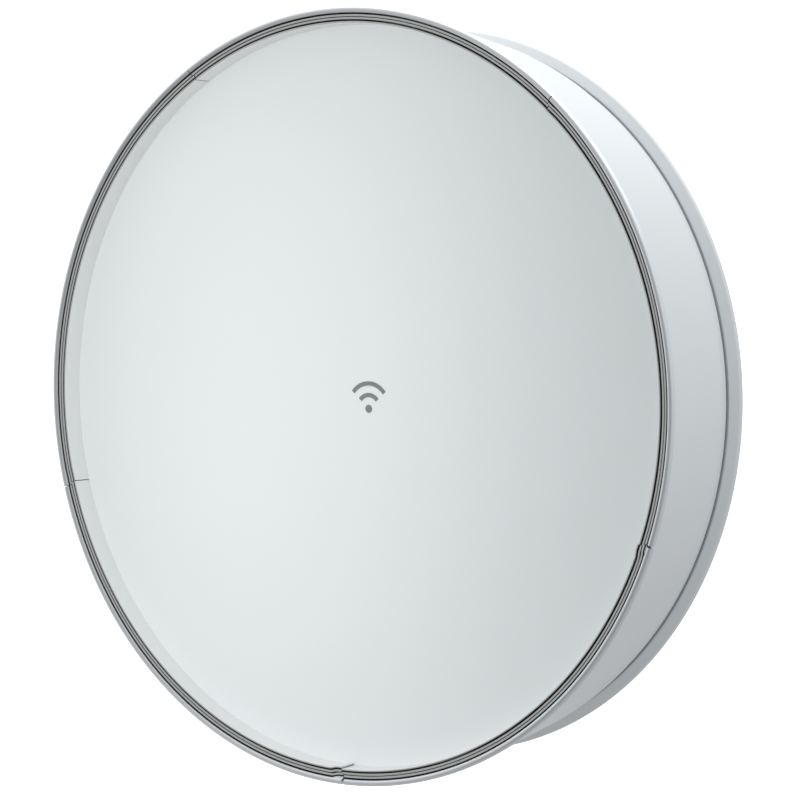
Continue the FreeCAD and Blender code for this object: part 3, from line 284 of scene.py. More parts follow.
class Nodes:
    """A Principled material being built."""

    def __init__(self, name, base, roughness, metallic=0.0):
        self.material = bpy.data.materials.new(f"{name}_finish")
        self.material.use_nodes = True
        self.tree = self.material.node_tree
        self.shader = self.tree.nodes["Principled BSDF"]
        self.shader.inputs["Base Color"].default_value = (*base, 1.0)
        self.shader.inputs["Roughness"].default_value = roughness
        self.shader.inputs["Metallic"].default_value = metallic
        self.base = base
        self.place = self.add("ShaderNodeTexCoord").outputs["Object"]

    def add(self, kind, **values):
        node = self.tree.nodes.new(kind)
        for key, value in values.items():
            if key in node.inputs:
                node.inputs[key].default_value = value
            else:
                setattr(node, key, value)
        return node

    def link(self, source, target):
        self.tree.links.new(source, target)

    def noise(self, scale, detail=2.0, stretch=None):
        node = self.add("ShaderNodeTexNoise", Scale=scale, Detail=detail)
        source = self.place
        if stretch is not None:
            mapping = self.add("ShaderNodeMapping", Scale=stretch)
            self.link(source, mapping.inputs["Vector"])
            source = mapping.outputs["Vector"]
        self.link(source, node.inputs["Vector"])
        return node.outputs["Fac"]

    def shade(self, source, dark, light):
        """Base colour that varies between two shares of itself."""
        ramp = self.add("ShaderNodeValToRGB")
        ends = ramp.color_ramp.elements
        ends[0].position, ends[1].position = GRAIN
        ends[0].color = (*[min(1.0, part * dark) for part in self.base], 1.0)
        ends[1].color = (*[min(1.0, part * light) for part in self.base], 1.0)
        self.link(source, ramp.inputs["Fac"])
        self.link(ramp.outputs["Color"], self.shader.inputs["Base Color"])

    def rough(self, source, least, most):
        node = graded(self.tree, source, *GRAIN, least, most)
        self.link(node.outputs["Result"], self.shader.inputs["Roughness"])

    def bump(self, source, height, strength=1.0, onto=None):
        node = self.add("ShaderNodeBump", Strength=strength, Distance=height)
        self.link(source, node.inputs["Height"])
        if onto is not None:
            self.link(onto, node.inputs["Normal"])
        self.link(node.outputs["Normal"], self.shader.inputs["Normal"])
        return node.outputs["Normal"]

    def radius(self):
        """Distance from the boresight."""
        split = self.add("ShaderNodeSeparateXYZ")
        self.link(self.place, split.inputs["Vector"])
        across = worked_out(self.tree, "POWER", split.outputs["X"], 2.0)
        up = worked_out(self.tree, "POWER", split.outputs["Z"], 2.0)
        return worked_out(self.tree, "SQRT", worked_out(self.tree, "ADD", across, up))


def white_paint(tones):
    """Satin powder coat: a fine orange peel and a faint change of shade."""
    made = Nodes("white_paint", tones.white_paint, 0.38)
    made.shade(made.noise(6.0), 0.985, 1.01)
    made.rough(made.noise(40.0), 0.34, 0.42)
    made.bump(made.noise(900.0, 3.0), 0.00006, 0.35)
    return made.material


def radome_plastic(tones):
    """Semi-gloss moulded sheet with a barely wavy face."""
    made = Nodes("radome_plastic", tones.radome, 0.3)
    made.shade(made.noise(3.0), 0.99, 1.005)
    made.rough(made.noise(20.0), 0.28, 0.34)
    wave = made.bump(made.noise(5.0, 1.0), 0.0004, 0.25)
    made.bump(made.noise(1500.0), 0.00003, 0.25, wave)
    made.shader.inputs["Subsurface Weight"].default_value = 0.05
    made.shader.inputs["Subsurface Radius"].default_value = (0.004, 0.004, 0.004)
    return made.material


def choke_metal(tones):
    """Bare extrusion: fine lines that run along each strip, on a base darker than the bead's, which is
    painted shade of the deep grooves.
    """
    made = Nodes("choke_metal", tones.choke, 0.32, 1.0)
    lines = made.add("ShaderNodeTexNoise", noise_dimensions="1D", Scale=4200.0, Detail=3.0)
    made.link(made.radius(), lines.inputs["W"])
    made.shade(lines.outputs["Fac"], 0.86, 1.08)
    made.rough(lines.outputs["Fac"], 0.26, 0.42)
    made.bump(lines.outputs["Fac"], 0.00008, 0.3)
    return made.material


def strip_bead_finish(tones):
    """The choke strip's outer bead, drawn smooth, with a faint line here and there, on a lighter base that is
    painted reflection of the bright surroundings.
    """
    made = Nodes("strip_bead_metal", tones.bead, 0.36, 1.0)
    lines = made.add("ShaderNodeTexNoise", noise_dimensions="1D", Scale=1500.0, Detail=2.0)
    made.link(made.radius(), lines.inputs["W"])
    made.shade(lines.outputs["Fac"], 0.96, 1.03)
    made.rough(lines.outputs["Fac"], 0.3, 0.42)
    made.bump(made.noise(600.0, 2.0), 0.00003, 0.3)
    return made.material


def strip_wall_finish(tones):
    """The choke strip's inner wall, painted to match the shroud."""
    made = Nodes("strip_wall_paint", tones.strip_wall, 0.4)
    made.shade(made.noise(8.0), 0.97, 1.0)
    made.rough(made.noise(50.0), 0.36, 0.46)
    made.bump(made.noise(900.0, 3.0), 0.00006, 0.3)
    return made.material


def emblem_ink(tones):
    """Printed ink with a slightly grainy film."""
    made = Nodes("emblem_ink", tones.ink, 0.45)
    made.shade(made.noise(500.0), 0.92, 1.06)
    made.rough(made.noise(300.0), 0.4, 0.5)
    made.bump(made.noise(1200.0), 0.00003, 0.3)
    return made.material


def white_plastic(tones):
    """Outdoor moulding with a fine spark-eroded texture."""
    made = Nodes("white_plastic", tones.white_plastic, 0.48)
    made.shade(made.noise(12.0), 0.975, 1.01)
    made.rough(made.noise(120.0), 0.42, 0.54)
    made.bump(made.noise(2200.0, 3.0), 0.00008, 0.5)
    made.shader.inputs["Subsurface Weight"].default_value = 0.06
    made.shader.inputs["Subsurface Radius"].default_value = (0.003, 0.003, 0.003)
    return made.material


def bright_aluminium(tones):
    """Machined or stamped bright metal."""
    made = Nodes("bright_aluminium", tones.aluminium, 0.3, 1.0)
    grain = made.noise(900.0, 2.0, (1.0, 1.0, 0.05))
    made.shade(grain, 0.92, 1.05)
    made.rough(grain, 0.24, 0.4)
    made.bump(grain, 0.00004, 0.3)
    return made.material


def cast_aluminium(tones):
    """Die casting with a sandy skin."""
    made = Nodes("cast_aluminium", tones.cast, 0.5, 1.0)
    made.shade(made.noise(60.0, 3.0), 0.88, 1.06)
    made.rough(made.noise(200.0), 0.42, 0.6)
    made.bump(made.noise(1300.0, 4.0), 0.00015, 0.5)
    return made.material


def zinc_steel(tones):
    """Blue-bright zinc plate with slight clouding."""
    made = Nodes("zinc_steel", tones.zinc, 0.28, 1.0)
    made.shade(made.noise(150.0, 3.0), 0.86, 1.06)
    made.rough(made.noise(260.0), 0.22, 0.4)
    made.bump(made.noise(1800.0), 0.00003, 0.3)
    return made.material


def bracket_steel(tones):
    """Hot-dip galvanised sheet: spangle in patches of slightly different grey."""
    made = Nodes("bracket_steel", tones.galvanised, 0.42, 0.85)
    spangle = made.add("ShaderNodeTexVoronoi", Scale=260.0, Randomness=1.0)
    made.link(made.place, spangle.inputs["Vector"])
    grey = made.add("ShaderNodeRGBToBW")
    made.link(spangle.outputs["Color"], grey.inputs["Color"])
    made.shade(grey.outputs["Val"], 0.93, 1.04)
    made.rough(grey.outputs["Val"], 0.38, 0.48)
    made.bump(made.noise(700.0, 3.0), 0.00008, 0.4)
    return made.material


def brass_contacts(tones):
    """Tinned brass."""
    made = Nodes("brass_contacts", tones.brass, 0.3, 1.0)
    made.shade(made.noise(300.0, 3.0), 0.9, 1.05)
    made.rough(made.noise(200.0), 0.24, 0.4)
    return made.material


def board_green(tones):
    """Solder mask over a grid of tracks."""
    made = Nodes("board_green", tones.board, 0.35)
    tracks = made.add("ShaderNodeTexBrick", Scale=240.0, Mortar=(*tones.track, 1.0))
    tracks.inputs["Color1"].default_value = (*tones.board, 1.0)
    tracks.inputs["Color2"].default_value = (*tones.board_dark, 1.0)
    turned = made.add("ShaderNodeMapping", Rotation=(math.radians(90.0), 0.0, 0.0))
    made.link(made.place, turned.inputs["Vector"])
    made.link(turned.outputs["Vector"], tracks.inputs["Vector"])
    made.link(tracks.outputs["Color"], made.shader.inputs["Base Color"])
    made.rough(made.noise(200.0), 0.3, 0.42)
    return made.material


def seal_rubber(tones):
    """Matte rubber with a dusty bloom."""
    made = Nodes("seal_rubber", tones.rubber, 0.7)
    made.shade(made.noise(80.0, 3.0), 0.8, 1.5)
    made.rough(made.noise(200.0), 0.6, 0.8)
    made.bump(made.noise(1500.0, 3.0), 0.00008, 0.5)
    return made.material


def seal_grey(tones):
    """Light grey silicone."""
    made = Nodes("seal_grey", tones.silicone, 0.6)
    made.shade(made.noise(60.0, 3.0), 0.92, 1.05)
    made.rough(made.noise(200.0), 0.52, 0.68)
    made.bump(made.noise(1500.0, 3.0), 0.00006, 0.4)
    return made.material


def lens_clear(tones):
    """Frosted light guide."""
    made = Nodes("lens_clear", tones.lens, 0.25)
    made.shader.inputs["Transmission Weight"].default_value = 0.5
    made.rough(made.noise(300.0), 0.2, 0.35)
    made.bump(made.noise(900.0), 0.00003, 0.3)
    return made.material


def slip_nylon(tones):
    """Dark moulded nylon."""
    made = Nodes("slip_nylon", tones.nylon, 0.5)
    made.shade(made.noise(150.0, 3.0), 0.85, 1.3)
    made.rough(made.noise(250.0), 0.42, 0.58)
    made.bump(made.noise(1500.0, 3.0), 0.00006, 0.4)
    return made.material


FINISHES = (white_paint, radome_plastic, choke_metal, emblem_ink, white_plastic, bright_aluminium,
            cast_aluminium, zinc_steel, bracket_steel, brass_contacts, board_green, seal_rubber, seal_grey,
            lens_clear, slip_nylon, strip_wall_finish, strip_bead_finish)


def finish(name):
    """The finish of that name; a packed slot's own plain material has the bare name."""
    return bpy.data.materials[f"{name}_finish"]


class BRIDGE_OT_finishes(bpy.types.Operator):
    """Make every finish and paint each CAD node with the one its slot names"""
    bl_idname = "bridge.finishes"
    bl_label = "Finishes"

    def execute(self, context):
        for maker in FINISHES:
            maker(context.scene.bridge_colours)
        for node, item in frame["nodes"].items():
            for place in item.material_slots:
                place.material = finish(SLOT_OF[node])
        return {"FINISHED"}


# ---------------------------------------------------------------- aperture

def wall_radius(sizes, station):
    """Outer radius of the flared wall at a station."""
    front = low("shroud").y
    end = high("shroud").y - sizes.neck_length - sizes.neck_slope
    share = (station - front) / (end - front)
    return high("shroud").x + (sizes.neck_radius + sizes.neck_step - high("shroud").x) * share


class BRIDGE_OT_shroud(bpy.types.Operator):
    """Spin the flared shroud with its neck, seat and radome ledge"""
    bl_idname = "bridge.shroud"
    bl_label = "Shroud"

    ledge_gap: length("Ledge gap", "From the radome's seal to the ledge", 0.1 * MM)
    ledge_fold: length("Ledge fold", "Inner radius where the ledge leaves the wall", 0.4 * MM)

    def execute(self, context):
        sizes = context.scene.bridge_sizes
        thick = sizes.sheet
        bend = sizes.bend
        front = low("shroud").y
        seat = high("shroud").y
        neck = sizes.neck_radius
        end = seat - sizes.neck_length - sizes.neck_slope
        ledge = high("radome_seal").y + self.ledge_gap
        outer = high("shroud").x
        lean = wall_radius(sizes, ledge)
        bm = spun([
            (outer, front, FRONT_EDGE),
            (wall_radius(sizes, end), end, bend + thick),
            (neck, seat - sizes.neck_length, bend),
            (neck, seat, bend + thick),
            (neck - sizes.seat_land, seat, CUT_EDGE),
            (neck - sizes.seat_land, seat - thick, CUT_EDGE),
            (neck - thick, seat - thick, bend),
            (neck - thick, seat - sizes.neck_length, bend + thick),
            (wall_radius(sizes, end) - thick, end, bend),
            (wall_radius(sizes, ledge + thick) - thick, ledge + thick, bend),
            (lean - thick - sizes.ledge_width, ledge + thick, CUT_EDGE),
            (lean - thick - sizes.ledge_width, ledge, CUT_EDGE),
            (lean - thick, ledge, self.ledge_fold),
            (outer - thick, front, FRONT_EDGE),
        ], sizes.ring_steps)
        piece_from(bm, "shroud_sheet", "shroud", [finish("white_paint")])
        return {"FINISHED"}


class BRIDGE_OT_reflector(bpy.types.Operator):
    """Spin the reflector bowl with its flat hub and turned rim"""
    bl_idname = "bridge.reflector"
    bl_label = "Reflector"

    rim_land: length("Rim land", "Width of the flat rim", 13.0 * MM)
    chamfer: length("Rim chamfer", "Radial width of the sloping edge", 7.0 * MM)
    drop: length("Rim drop", "Depth of the sloping edge", 7.3 * MM)
    skirt_length: length("Skirt", "Straight length of the rim's edge", 4.2 * MM)
    hub: length("Hub", "Radius of the flat hub", 108.0 * MM)
    focal: length("Focal length", "Focal length of the parabola", 190.0 * MM)
    feed_hole: length("Feed hole", "Radius of the hole for the feed", 26.0 * MM)
    bowl_steps: IntProperty(name="Bowl steps", description="Rings of faces from hub to rim",
                            default=24, min=6)

    def execute(self, context):
        sizes = context.scene.bridge_sizes
        thick = sizes.sheet
        bend = sizes.bend
        edge = high("reflector_dish").x
        front = low("reflector_dish").y
        hub_back = high("reflector_dish").y
        skirt = front + self.drop + self.skirt_length
        inset = thick * 0.4
        bowl = edge - self.chamfer - self.rim_land

        def parabola(radius, shift):
            return hub_back - thick + shift + (self.hub ** 2 - radius ** 2) / (self.focal * 4)

        shares = [index / self.bowl_steps for index in range(1, self.bowl_steps)]
        radii = [self.hub + (bowl - self.hub) * share for share in shares]
        outward = [(radius, parabola(radius, 0.0)) for radius in radii]
        inward = [(radius, parabola(radius, thick)) for radius in reversed(radii)]
        bm = spun([
            (self.feed_hole, hub_back - thick, FRONT_EDGE),
            (self.hub, hub_back - thick),
            *outward,
            (bowl, front, SOFT_FOLD),
            (edge - self.chamfer, front, bend + thick),
            (edge, front + self.drop, bend + thick),
            (edge, skirt, CUT_EDGE),
            (edge - thick, skirt, CUT_EDGE),
            (edge - thick, front + self.drop + inset, bend),
            (edge - self.chamfer - inset, front + thick, bend),
            (bowl, front + thick, SOFT_FOLD),
            *inward,
            (self.hub, hub_back),
            (self.feed_hole, hub_back, FRONT_EDGE),
        ], sizes.ring_steps)
        piece_from(bm, "reflector_bowl", "reflector_dish", [finish("white_paint")])
        return {"FINISHED"}


class BRIDGE_OT_radome(bpy.types.Operator):
    """Spin the flat radome with its softly rounded edge"""
    bl_idname = "bridge.radome"
    bl_label = "Radome"

    front_edge: length("Front edge", "Rounding of the front edge", 0.8 * MM)
    back_edge: length("Back edge", "Rounding of the back edge", 0.4 * MM)

    def execute(self, context):
        sizes = context.scene.bridge_sizes
        front = low("radome").y
        back = high("radome").y
        edge = high("radome").x
        bm = spun([
            (0, front),
            (edge / 2, front),
            (edge, front, self.front_edge),
            (edge, back, self.back_edge),
            (0, back),
        ], sizes.ring_steps, closed=False)
        piece_from(bm, "radome_sheet", "radome", [finish("radome_plastic")])
        return {"FINISHED"}


class BRIDGE_OT_choke_ring(bpy.types.Operator):
    """Spin the five finned choke strips that lap at their joints"""
    bl_idname = "bridge.choke_ring"
    bl_label = "Choke ring"

    fin_drop: length("Fin drop", "How far the fins stay behind the leg's edge", 0.8 * MM)
    round_edge: length("Edge", "Rounding of thin edges", 0.3 * MM)
    wall_edge: length("Wall edge", "Rounding of the inner wall's front", 0.45 * MM)
    gap: length("Gap", "Between the strip and the shroud's front edge", 0.2 * MM)
    bead_round: FloatProperty(name="Bead round", description="Share of the bead's half width that is rounded",
                              default=0.98)
    joggle_flat: turn("Lapping end", "Arc of a strip's end that lies wholly inward", 0.8)
    joggle_end: turn("Joggle end", "Arc from a strip's end to where it has stepped back out", 2.2)
    steps: IntProperty(name="Steps", description="Faces along one strip", default=144, min=24)

    def execute(self, context):
        sizes = context.scene.bridge_sizes
        for index, node in enumerate(STRIPS):
            start = sizes.strip_first + math.tau / len(STRIPS) * index
            bm = bmesh.new()
            self.turn_profile(bm, sizes, self.inner_profile(sizes), index, start + sizes.strip_lap)
            self.turn_profile(bm, sizes, self.outer_profile(sizes), index, start)
            piece_from(bm, f"{node}_extrusion", node, [
                finish("choke_metal"), finish("strip_wall_paint"), finish("strip_bead_metal")])
        return {"FINISHED"}

    def turn_profile(self, bm, sizes, points, index, start):
        """Spins one outline about the boresight, clockwise from the top, closes its ends and laps them."""
        span = math.tau / len(STRIPS) - sizes.strip_seam
        part = bmesh.new()
        wire(part, points)
        bmesh.ops.rotate(part, verts=part.verts, cent=(0, 0, 0),
                         matrix=Matrix.Rotation(start - math.pi / 2, 3, "Y"))
        bmesh.ops.spin(part, geom=part.verts[:] + part.edges[:], cent=(0, 0, 0), axis=(0, 1, 0),
                       angle=span, steps=self.steps)
        bmesh.ops.holes_fill(part, edges=[edge for edge in part.edges if edge.is_boundary], sides=0)
        bmesh.ops.recalc_face_normals(part, faces=part.faces)
        self.paint(sizes, part)
        for vert in part.verts:
            along = (math.atan2(vert.co.x, vert.co.z) - start + math.pi) % math.tau - math.pi
            self.lap(sizes, vert, index, along, span)
        poured(part, bm)

    def paint(self, sizes, part):
        """Gives the inner wall its paint and the bead its smooth, lighter metal, which is painted reflection;
        the fins and grooves keep the darker metal, which is painted shade.
        """
        at = self.stations(sizes)
        bead_from = at.outer - sizes.strip_bead
        bead_until = at.floor - 2.0 * MM
        wall_until = at.inner + 0.3 * MM
        for face in part.faces:
            middle = face.calc_center_median()
            radial = Vector((middle.x, 0.0, middle.z))
            faces_inward = face.normal.dot(radial.normalized()) < -0.8
            if radial.length > bead_from and middle.y < bead_until:
                face.material_index = 2
            elif radial.length < wall_until and faces_inward:
                face.material_index = 1

    def lap(self, sizes, vert, index, along, span):
        """Steps a strip's first stretch inward, to lap inside its neighbour, and cuts its bead short."""
        bead = self.stations(sizes).outer - sizes.strip_bead
        margin = 0.2 * MM
        radial = Vector((vert.co.x, 0.0, vert.co.z))
        if radial.length < bead - margin:
            share = (self.joggle_end - along) / (self.joggle_end - self.joggle_flat)
            share = min(1.0, max(0.0, share))
            vert.co -= radial.normalized() * sizes.joggles[index] * share * share * (3.0 - 2.0 * share)
        elif radial.length > bead + margin:
            after = (index + 1) % len(STRIPS)
            for end, seam in ((0.0, sizes.bead_seams[index]), (span, -sizes.bead_seams[after])):
                if abs(along - end) < 1e-4:
                    vert.co.rotate(Matrix.Rotation(seam, 3, "Y"))

    def stations(self, sizes):
        front = low("choke_strip_1").y + sizes.bead_ahead
        back = high("choke_strip_1").y
        outer = high("shroud").x + sizes.strip_leg
        return Stations(front, back, back - sizes.strip_floor, outer - sizes.strip_width, outer)

    def hook_lean(self, sizes, station):
        return high("shroud").x - wall_radius(sizes, station)

    def fin(self, sizes, index):
        """One fin's outline from its inner foot round to its outer foot."""
        at = self.stations(sizes)
        lean = (sizes.strip_lean + self.hook_lean(sizes, at.floor)) / 2
        near = at.inner + sizes.strip_leg + sizes.strip_groove + (sizes.strip_fin + sizes.strip_slot) * index
        far = near + sizes.strip_fin
        top = at.front + self.fin_drop
        return [
            (near - lean, at.floor),
            (near, top, self.round_edge),
            (far, top, self.round_edge),
            (far - lean, at.floor),
        ]

    def split(self, sizes):
        return self.fin(sizes, 0)[3][0] + sizes.strip_slot / 2

    def inner_profile(self, sizes):
        at = self.stations(sizes)
        leg = sizes.strip_leg
        return [
            (at.inner, at.front, self.wall_edge),
            (at.inner + leg, at.front, self.wall_edge),
            (at.inner + leg - sizes.strip_lean, at.floor),
            *self.fin(sizes, 0),
            (self.split(sizes), at.floor),
            (self.split(sizes), at.back),
            (at.inner - sizes.strip_lean, at.back),
        ]

    def outer_profile(self, sizes):
        at = self.stations(sizes)
        wall_front = low("shroud").y - self.gap
        inside = high("shroud").x - sizes.sheet - self.gap
        lip = high("shroud").x + self.gap
        hook = at.outer - sizes.strip_bead
        bead = sizes.strip_bead / 2 * self.bead_round
        bead_front = at.front - sizes.bead_ahead
        lip_end = at.front + sizes.strip_hook
        return [
            (self.split(sizes), at.floor),
            *self.fin(sizes, 1),
            (hook - self.hook_lean(sizes, at.floor), at.floor),
            (hook, bead_front, bead),
            (at.outer, bead_front, bead),
            (at.outer, lip_end, self.round_edge),
            (lip, lip_end, self.round_edge),
            (lip, wall_front),
            (inside, wall_front),
            (inside - self.hook_lean(sizes, at.floor), at.floor),
            (inside - self.hook_lean(sizes, at.back), at.back),
            (self.split(sizes), at.back),
        ]


# ---------------------------------------------------------------- moulded, folded and cast pieces

def merged(node):
    """A CAD node's mesh as a bmesh with its loose triangles joined and its flat faces whole."""
    bm = bmesh.new()
    bm.from_mesh(frame["nodes"][node].data)
    bmesh.ops.remove_doubles(bm, verts=bm.verts, dist=CAD_WELD)
    bmesh.ops.dissolve_limit(bm, angle_limit=math.radians(0.5), verts=bm.verts, edges=bm.edges,
                             delimit={"NORMAL"})
    return bm


def eased(bm, radius, least=35.0, segments=2):
    """Rounds the sharp edges."""
    sharp = [edge for edge in bm.edges
             if len(edge.link_faces) == 2 and edge.calc_face_angle() > math.radians(least)]
    bmesh.ops.bevel(bm, geom=sharp, offset=radius, offset_type="OFFSET", segments=segments, profile=0.5,
                    affect="EDGES", material=-1, clamp_overlap=True)
    bmesh.ops.triangulate(bm, faces=[face for face in bm.faces if len(face.verts) > 4])


class Eased:
    """Base of the operators that round the edges of a family of CAD shapes."""

    def execute(self, context):
        for node, radius in self.radii().items():
            bm = merged(node)
            eased(bm, radius)
            piece_from(bm, f"{node}_eased", node, [finish(SLOT_OF[node])], crease=40.0)
        return {"FINISHED"}


class BRIDGE_OT_housing(Eased, bpy.types.Operator):
    """Shape the radio housing's mouldings with softly rounded edges"""
    bl_idname = "bridge.housing"
    bl_label = "Radio housing"

    case_edge: length("Case edge", "Rounding of the case's edges", 0.9 * MM)
    small_edge: length("Small edge", "Rounding of the small parts' edges", 0.35 * MM)

    def radii(self):
        case = dict.fromkeys(("base_tray", "rear_cover"), self.case_edge)
        small = dict.fromkeys(("port_cover", "port_latch", "cable_grommet", "status_lens", "vent_plug",
                               "ethernet_jack", "reset_button"), self.small_edge)
        return {**case, **small}


class BRIDGE_OT_brackets(Eased, bpy.types.Operator):
    """Shape the folded steel brackets and cast pole blocks with rounded edges"""
    bl_idname = "bridge.brackets"
    bl_label = "Brackets"

    sheet_edge: length("Sheet edge", "Rounding of the steel sheets' edges", 0.4 * MM)
    cast_edge: length("Cast edge", "Rounding of the castings' edges", 1.2 * MM)

    def radii(self):
        sheets = dict.fromkeys(("dish_bracket", "pole_bracket"), self.sheet_edge)
        cast = dict.fromkeys(("upper_saddle", "lower_saddle", "upper_jaw", "lower_jaw"), self.cast_edge)
        return {**sheets, **cast}


class BRIDGE_OT_nuts(Eased, bpy.types.Operator):
    """Shape the nuts, washers and ground lug with eased edges"""
    bl_idname = "bridge.nuts"
    bl_label = "Nuts and washers"

    nut_edge: length("Nut edge", "Chamfer of the large nuts", 0.45 * MM)
    fine_edge: length("Fine edge", "Chamfer of the small nuts and the washers", 0.2 * MM)

    def radii(self):
        large = dict.fromkeys(("pivot_nuts", "lock_nuts", "upper_jaw_nuts", "lower_jaw_nuts",
                               "hub_nuts"), self.nut_edge)
        fine = dict.fromkeys(("rim_nuts", "lock_washers", "upper_jaw_washers", "lower_jaw_washers",
                              "pivot_washers", "ground_lug"), self.fine_edge)
        return {**large, **fine}


# ---------------------------------------------------------------- fasteners

Thread = namedtuple("Thread", "radius pitch")
M8 = Thread(4.0 * MM, 1.25 * MM)
M6 = Thread(3.0 * MM, 1.0 * MM)
M3 = Thread(1.5 * MM, 0.5 * MM)


def solids(node):
    """The separate solids of a CAD node, as lists of corners."""
    bm = bmesh.new()
    bm.from_mesh(frame["nodes"][node].data)
    bmesh.ops.remove_doubles(bm, verts=bm.verts, dist=CAD_WELD)
    waiting = set(bm.verts)
    groups = []
    for first in bm.verts:
        if first not in waiting:
            continue
        waiting.remove(first)
        reached = [first]
        corners = []
        while reached:
            vert = reached.pop()
            corners.append(vert.co.copy())
            for edge in vert.link_edges:
                other = edge.other_vert(vert)
                if other in waiting:
                    waiting.remove(other)
                    reached.append(other)
        groups.append(corners)
    bm.free()
    return groups


def span_along(corners, way):
    marks = [corner.dot(way) for corner in corners]
    return min(marks), max(marks)


def centre_of(corners):
    lows = [min(corner[index] for corner in corners) for index in range(3)]
    highs = [max(corner[index] for corner in corners) for index in range(3)]
    return (Vector(lows) + Vector(highs)) / 2


def hexagon(bm, radius, start, end, corner):
    """A hexagonal prism along +Z with eased ends."""
    made = bmesh.ops.create_circle(bm, cap_ends=True, segments=6, radius=radius)
    face = made["verts"][0].link_faces[0]
    bmesh.ops.translate(bm, verts=made["verts"], vec=(0, 0, start))
    top = bmesh.ops.extrude_face_region(bm, geom=[face], use_keep_orig=True)
    raised = [item for item in top["geom"] if isinstance(item, bmesh.types.BMVert)]
    bmesh.ops.translate(bm, verts=raised, vec=(0, 0, end - start))
    rims = [edge for edge in bm.edges if abs(edge.verts[0].co.z - edge.verts[1].co.z) < WELD]
    bmesh.ops.bevel(bm, geom=rims, offset=corner, offset_type="OFFSET", segments=2, profile=0.5,
                    affect="EDGES", material=-1)


def turned_along(bm, points, steps):
    """Turns an open outline of (radius, height) about +Z into the bmesh."""
    part = bmesh.new()
    wire(part, points, closed=False)
    bmesh.ops.rotate(part, verts=part.verts, cent=(0, 0, 0), matrix=Matrix.Rotation(math.pi / 2, 3, "X"))
    bmesh.ops.spin(part, geom=part.verts[:] + part.edges[:], cent=(0, 0, 0), axis=(0, 0, 1),
                   angle=math.tau, steps=steps, use_merge=True)
    bmesh.ops.remove_doubles(part, verts=part.verts, dist=WELD)
    poured(part, bm)


def threaded(radius, start, end, pitch):
    """A shank's outline: grooves a pitch apart from start to end, with a pointed tip."""
    root = radius - pitch * 0.45
    valley = pitch * 0.4
    crest = pitch * 0.8
    points = [(0, start - pitch), (radius, start - pitch), (radius, start)]
    turns = int((end - start) / pitch) - 1
    for index in range(turns):
        height = start + pitch * index
        points += [(root, height + valley), (radius, height + crest)]
    return points + [(root, end), (0, end)]


class BRIDGE_OT_bolts(bpy.types.Operator):
    """Make the hexagon bolts and screws with chamfered heads and threads"""
    bl_idname = "bridge.bolts"
    bl_label = "Bolts"

    clamp_head: length("Clamp bolt head", "Height of the clamp bolts' heads", 4.0 * MM)
    hub_head: length("Hub bolt head", "Height of the hub bolts' heads", 4.0 * MM)
    rim_head: length("Rim screw head", "Height of the rim screws' heads", 2.2 * MM)
    cover_head: length("Cover screw head", "Height of the cover screws' heads", 2.4 * MM)
    ground_head: length("Ground screw head", "Height of the ground screw's head", 3.0 * MM)
    hinge_head: length("Hinge bolt head", "Height of the pivot and lock bolts' heads", 5.3 * MM)
    fit: FloatProperty(name="Fit", description="Share of the CAD's radii that the bolts take", default=0.985)
    chamfer: length("Chamfer", "Largest easing of a head's corners", 0.5 * MM)
    chamfer_share: FloatProperty(name="Chamfer share", description="Largest easing as a share of the head",
                                 default=0.2)
    thread_steps: IntProperty(name="Thread steps", description="Faces around a thread", default=24, min=8)

    def families(self):
        """Node, axis from head to tip, head height, thread."""
        return (
            ("clamp_bolts", (0, 1, 0), self.clamp_head, M8),
            ("hub_bolts", (0, 1, 0), self.hub_head, M6),
            ("rim_screws", (0, -1, 0), self.rim_head, M3),
            ("cover_screws", (0, -1, 0), self.cover_head, M3),
            ("ground_screw", (0, -1, 0), self.ground_head, M6),
            ("pivot_bolts", (-1, 0, 0), self.hinge_head, M8),
            ("lock_bolts", (-1, 0, 0), self.hinge_head, M8),
        )

    def execute(self, context):
        for node, way, head, thread in self.families():
            bm = bmesh.new()
            for corners in solids(node):
                self.bolt(bm, corners, Vector(way), head, thread)
            piece_from(bm, f"{node}_threaded", node, [finish(SLOT_OF[node])], crease=30.0)
        return {"FINISHED"}

    def bolt(self, bm, corners, way, head, thread):
        """Makes one bolt along +Z and moves it onto its own axis; left and right bolts point inward."""
        middle = centre_of(corners)
        if way.x and middle.x < 0:
            way = -way
        start, end = span_along(corners, way)
        place = middle - way * (middle.dot(way) - start)
        wide = max((corner - place - way * (corner - place).dot(way)).length for corner in corners)
        part = bmesh.new()
        hexagon(part, wide * self.fit, 0.0, head, min(self.chamfer, head * self.chamfer_share))
        turned_along(part, threaded(thread.radius * self.fit, head, end - start, thread.pitch),
                     self.thread_steps)
        self.align(part, corners, way, place)
        turned = way.to_track_quat("Z", "Y").to_matrix().to_4x4()
        part.transform(Matrix.Translation(place) @ turned)
        bmesh.ops.recalc_face_normals(part, faces=part.faces)
        poured(part, bm)

    def align(self, part, corners, way, place):
        """Turns the head so that its corners lie where the CAD's do."""
        flat = way.to_track_quat("Z", "Y").inverted()
        spots = [flat @ (corner - place) for corner in corners]
        far = max(spots, key=lambda spot: round(math.hypot(spot.x, spot.y), 6))
        bmesh.ops.rotate(part, verts=part.verts, cent=(0, 0, 0),
                         matrix=Matrix.Rotation(math.atan2(far.y, far.x), 3, "Z"))


# ---------------------------------------------------------------- studio

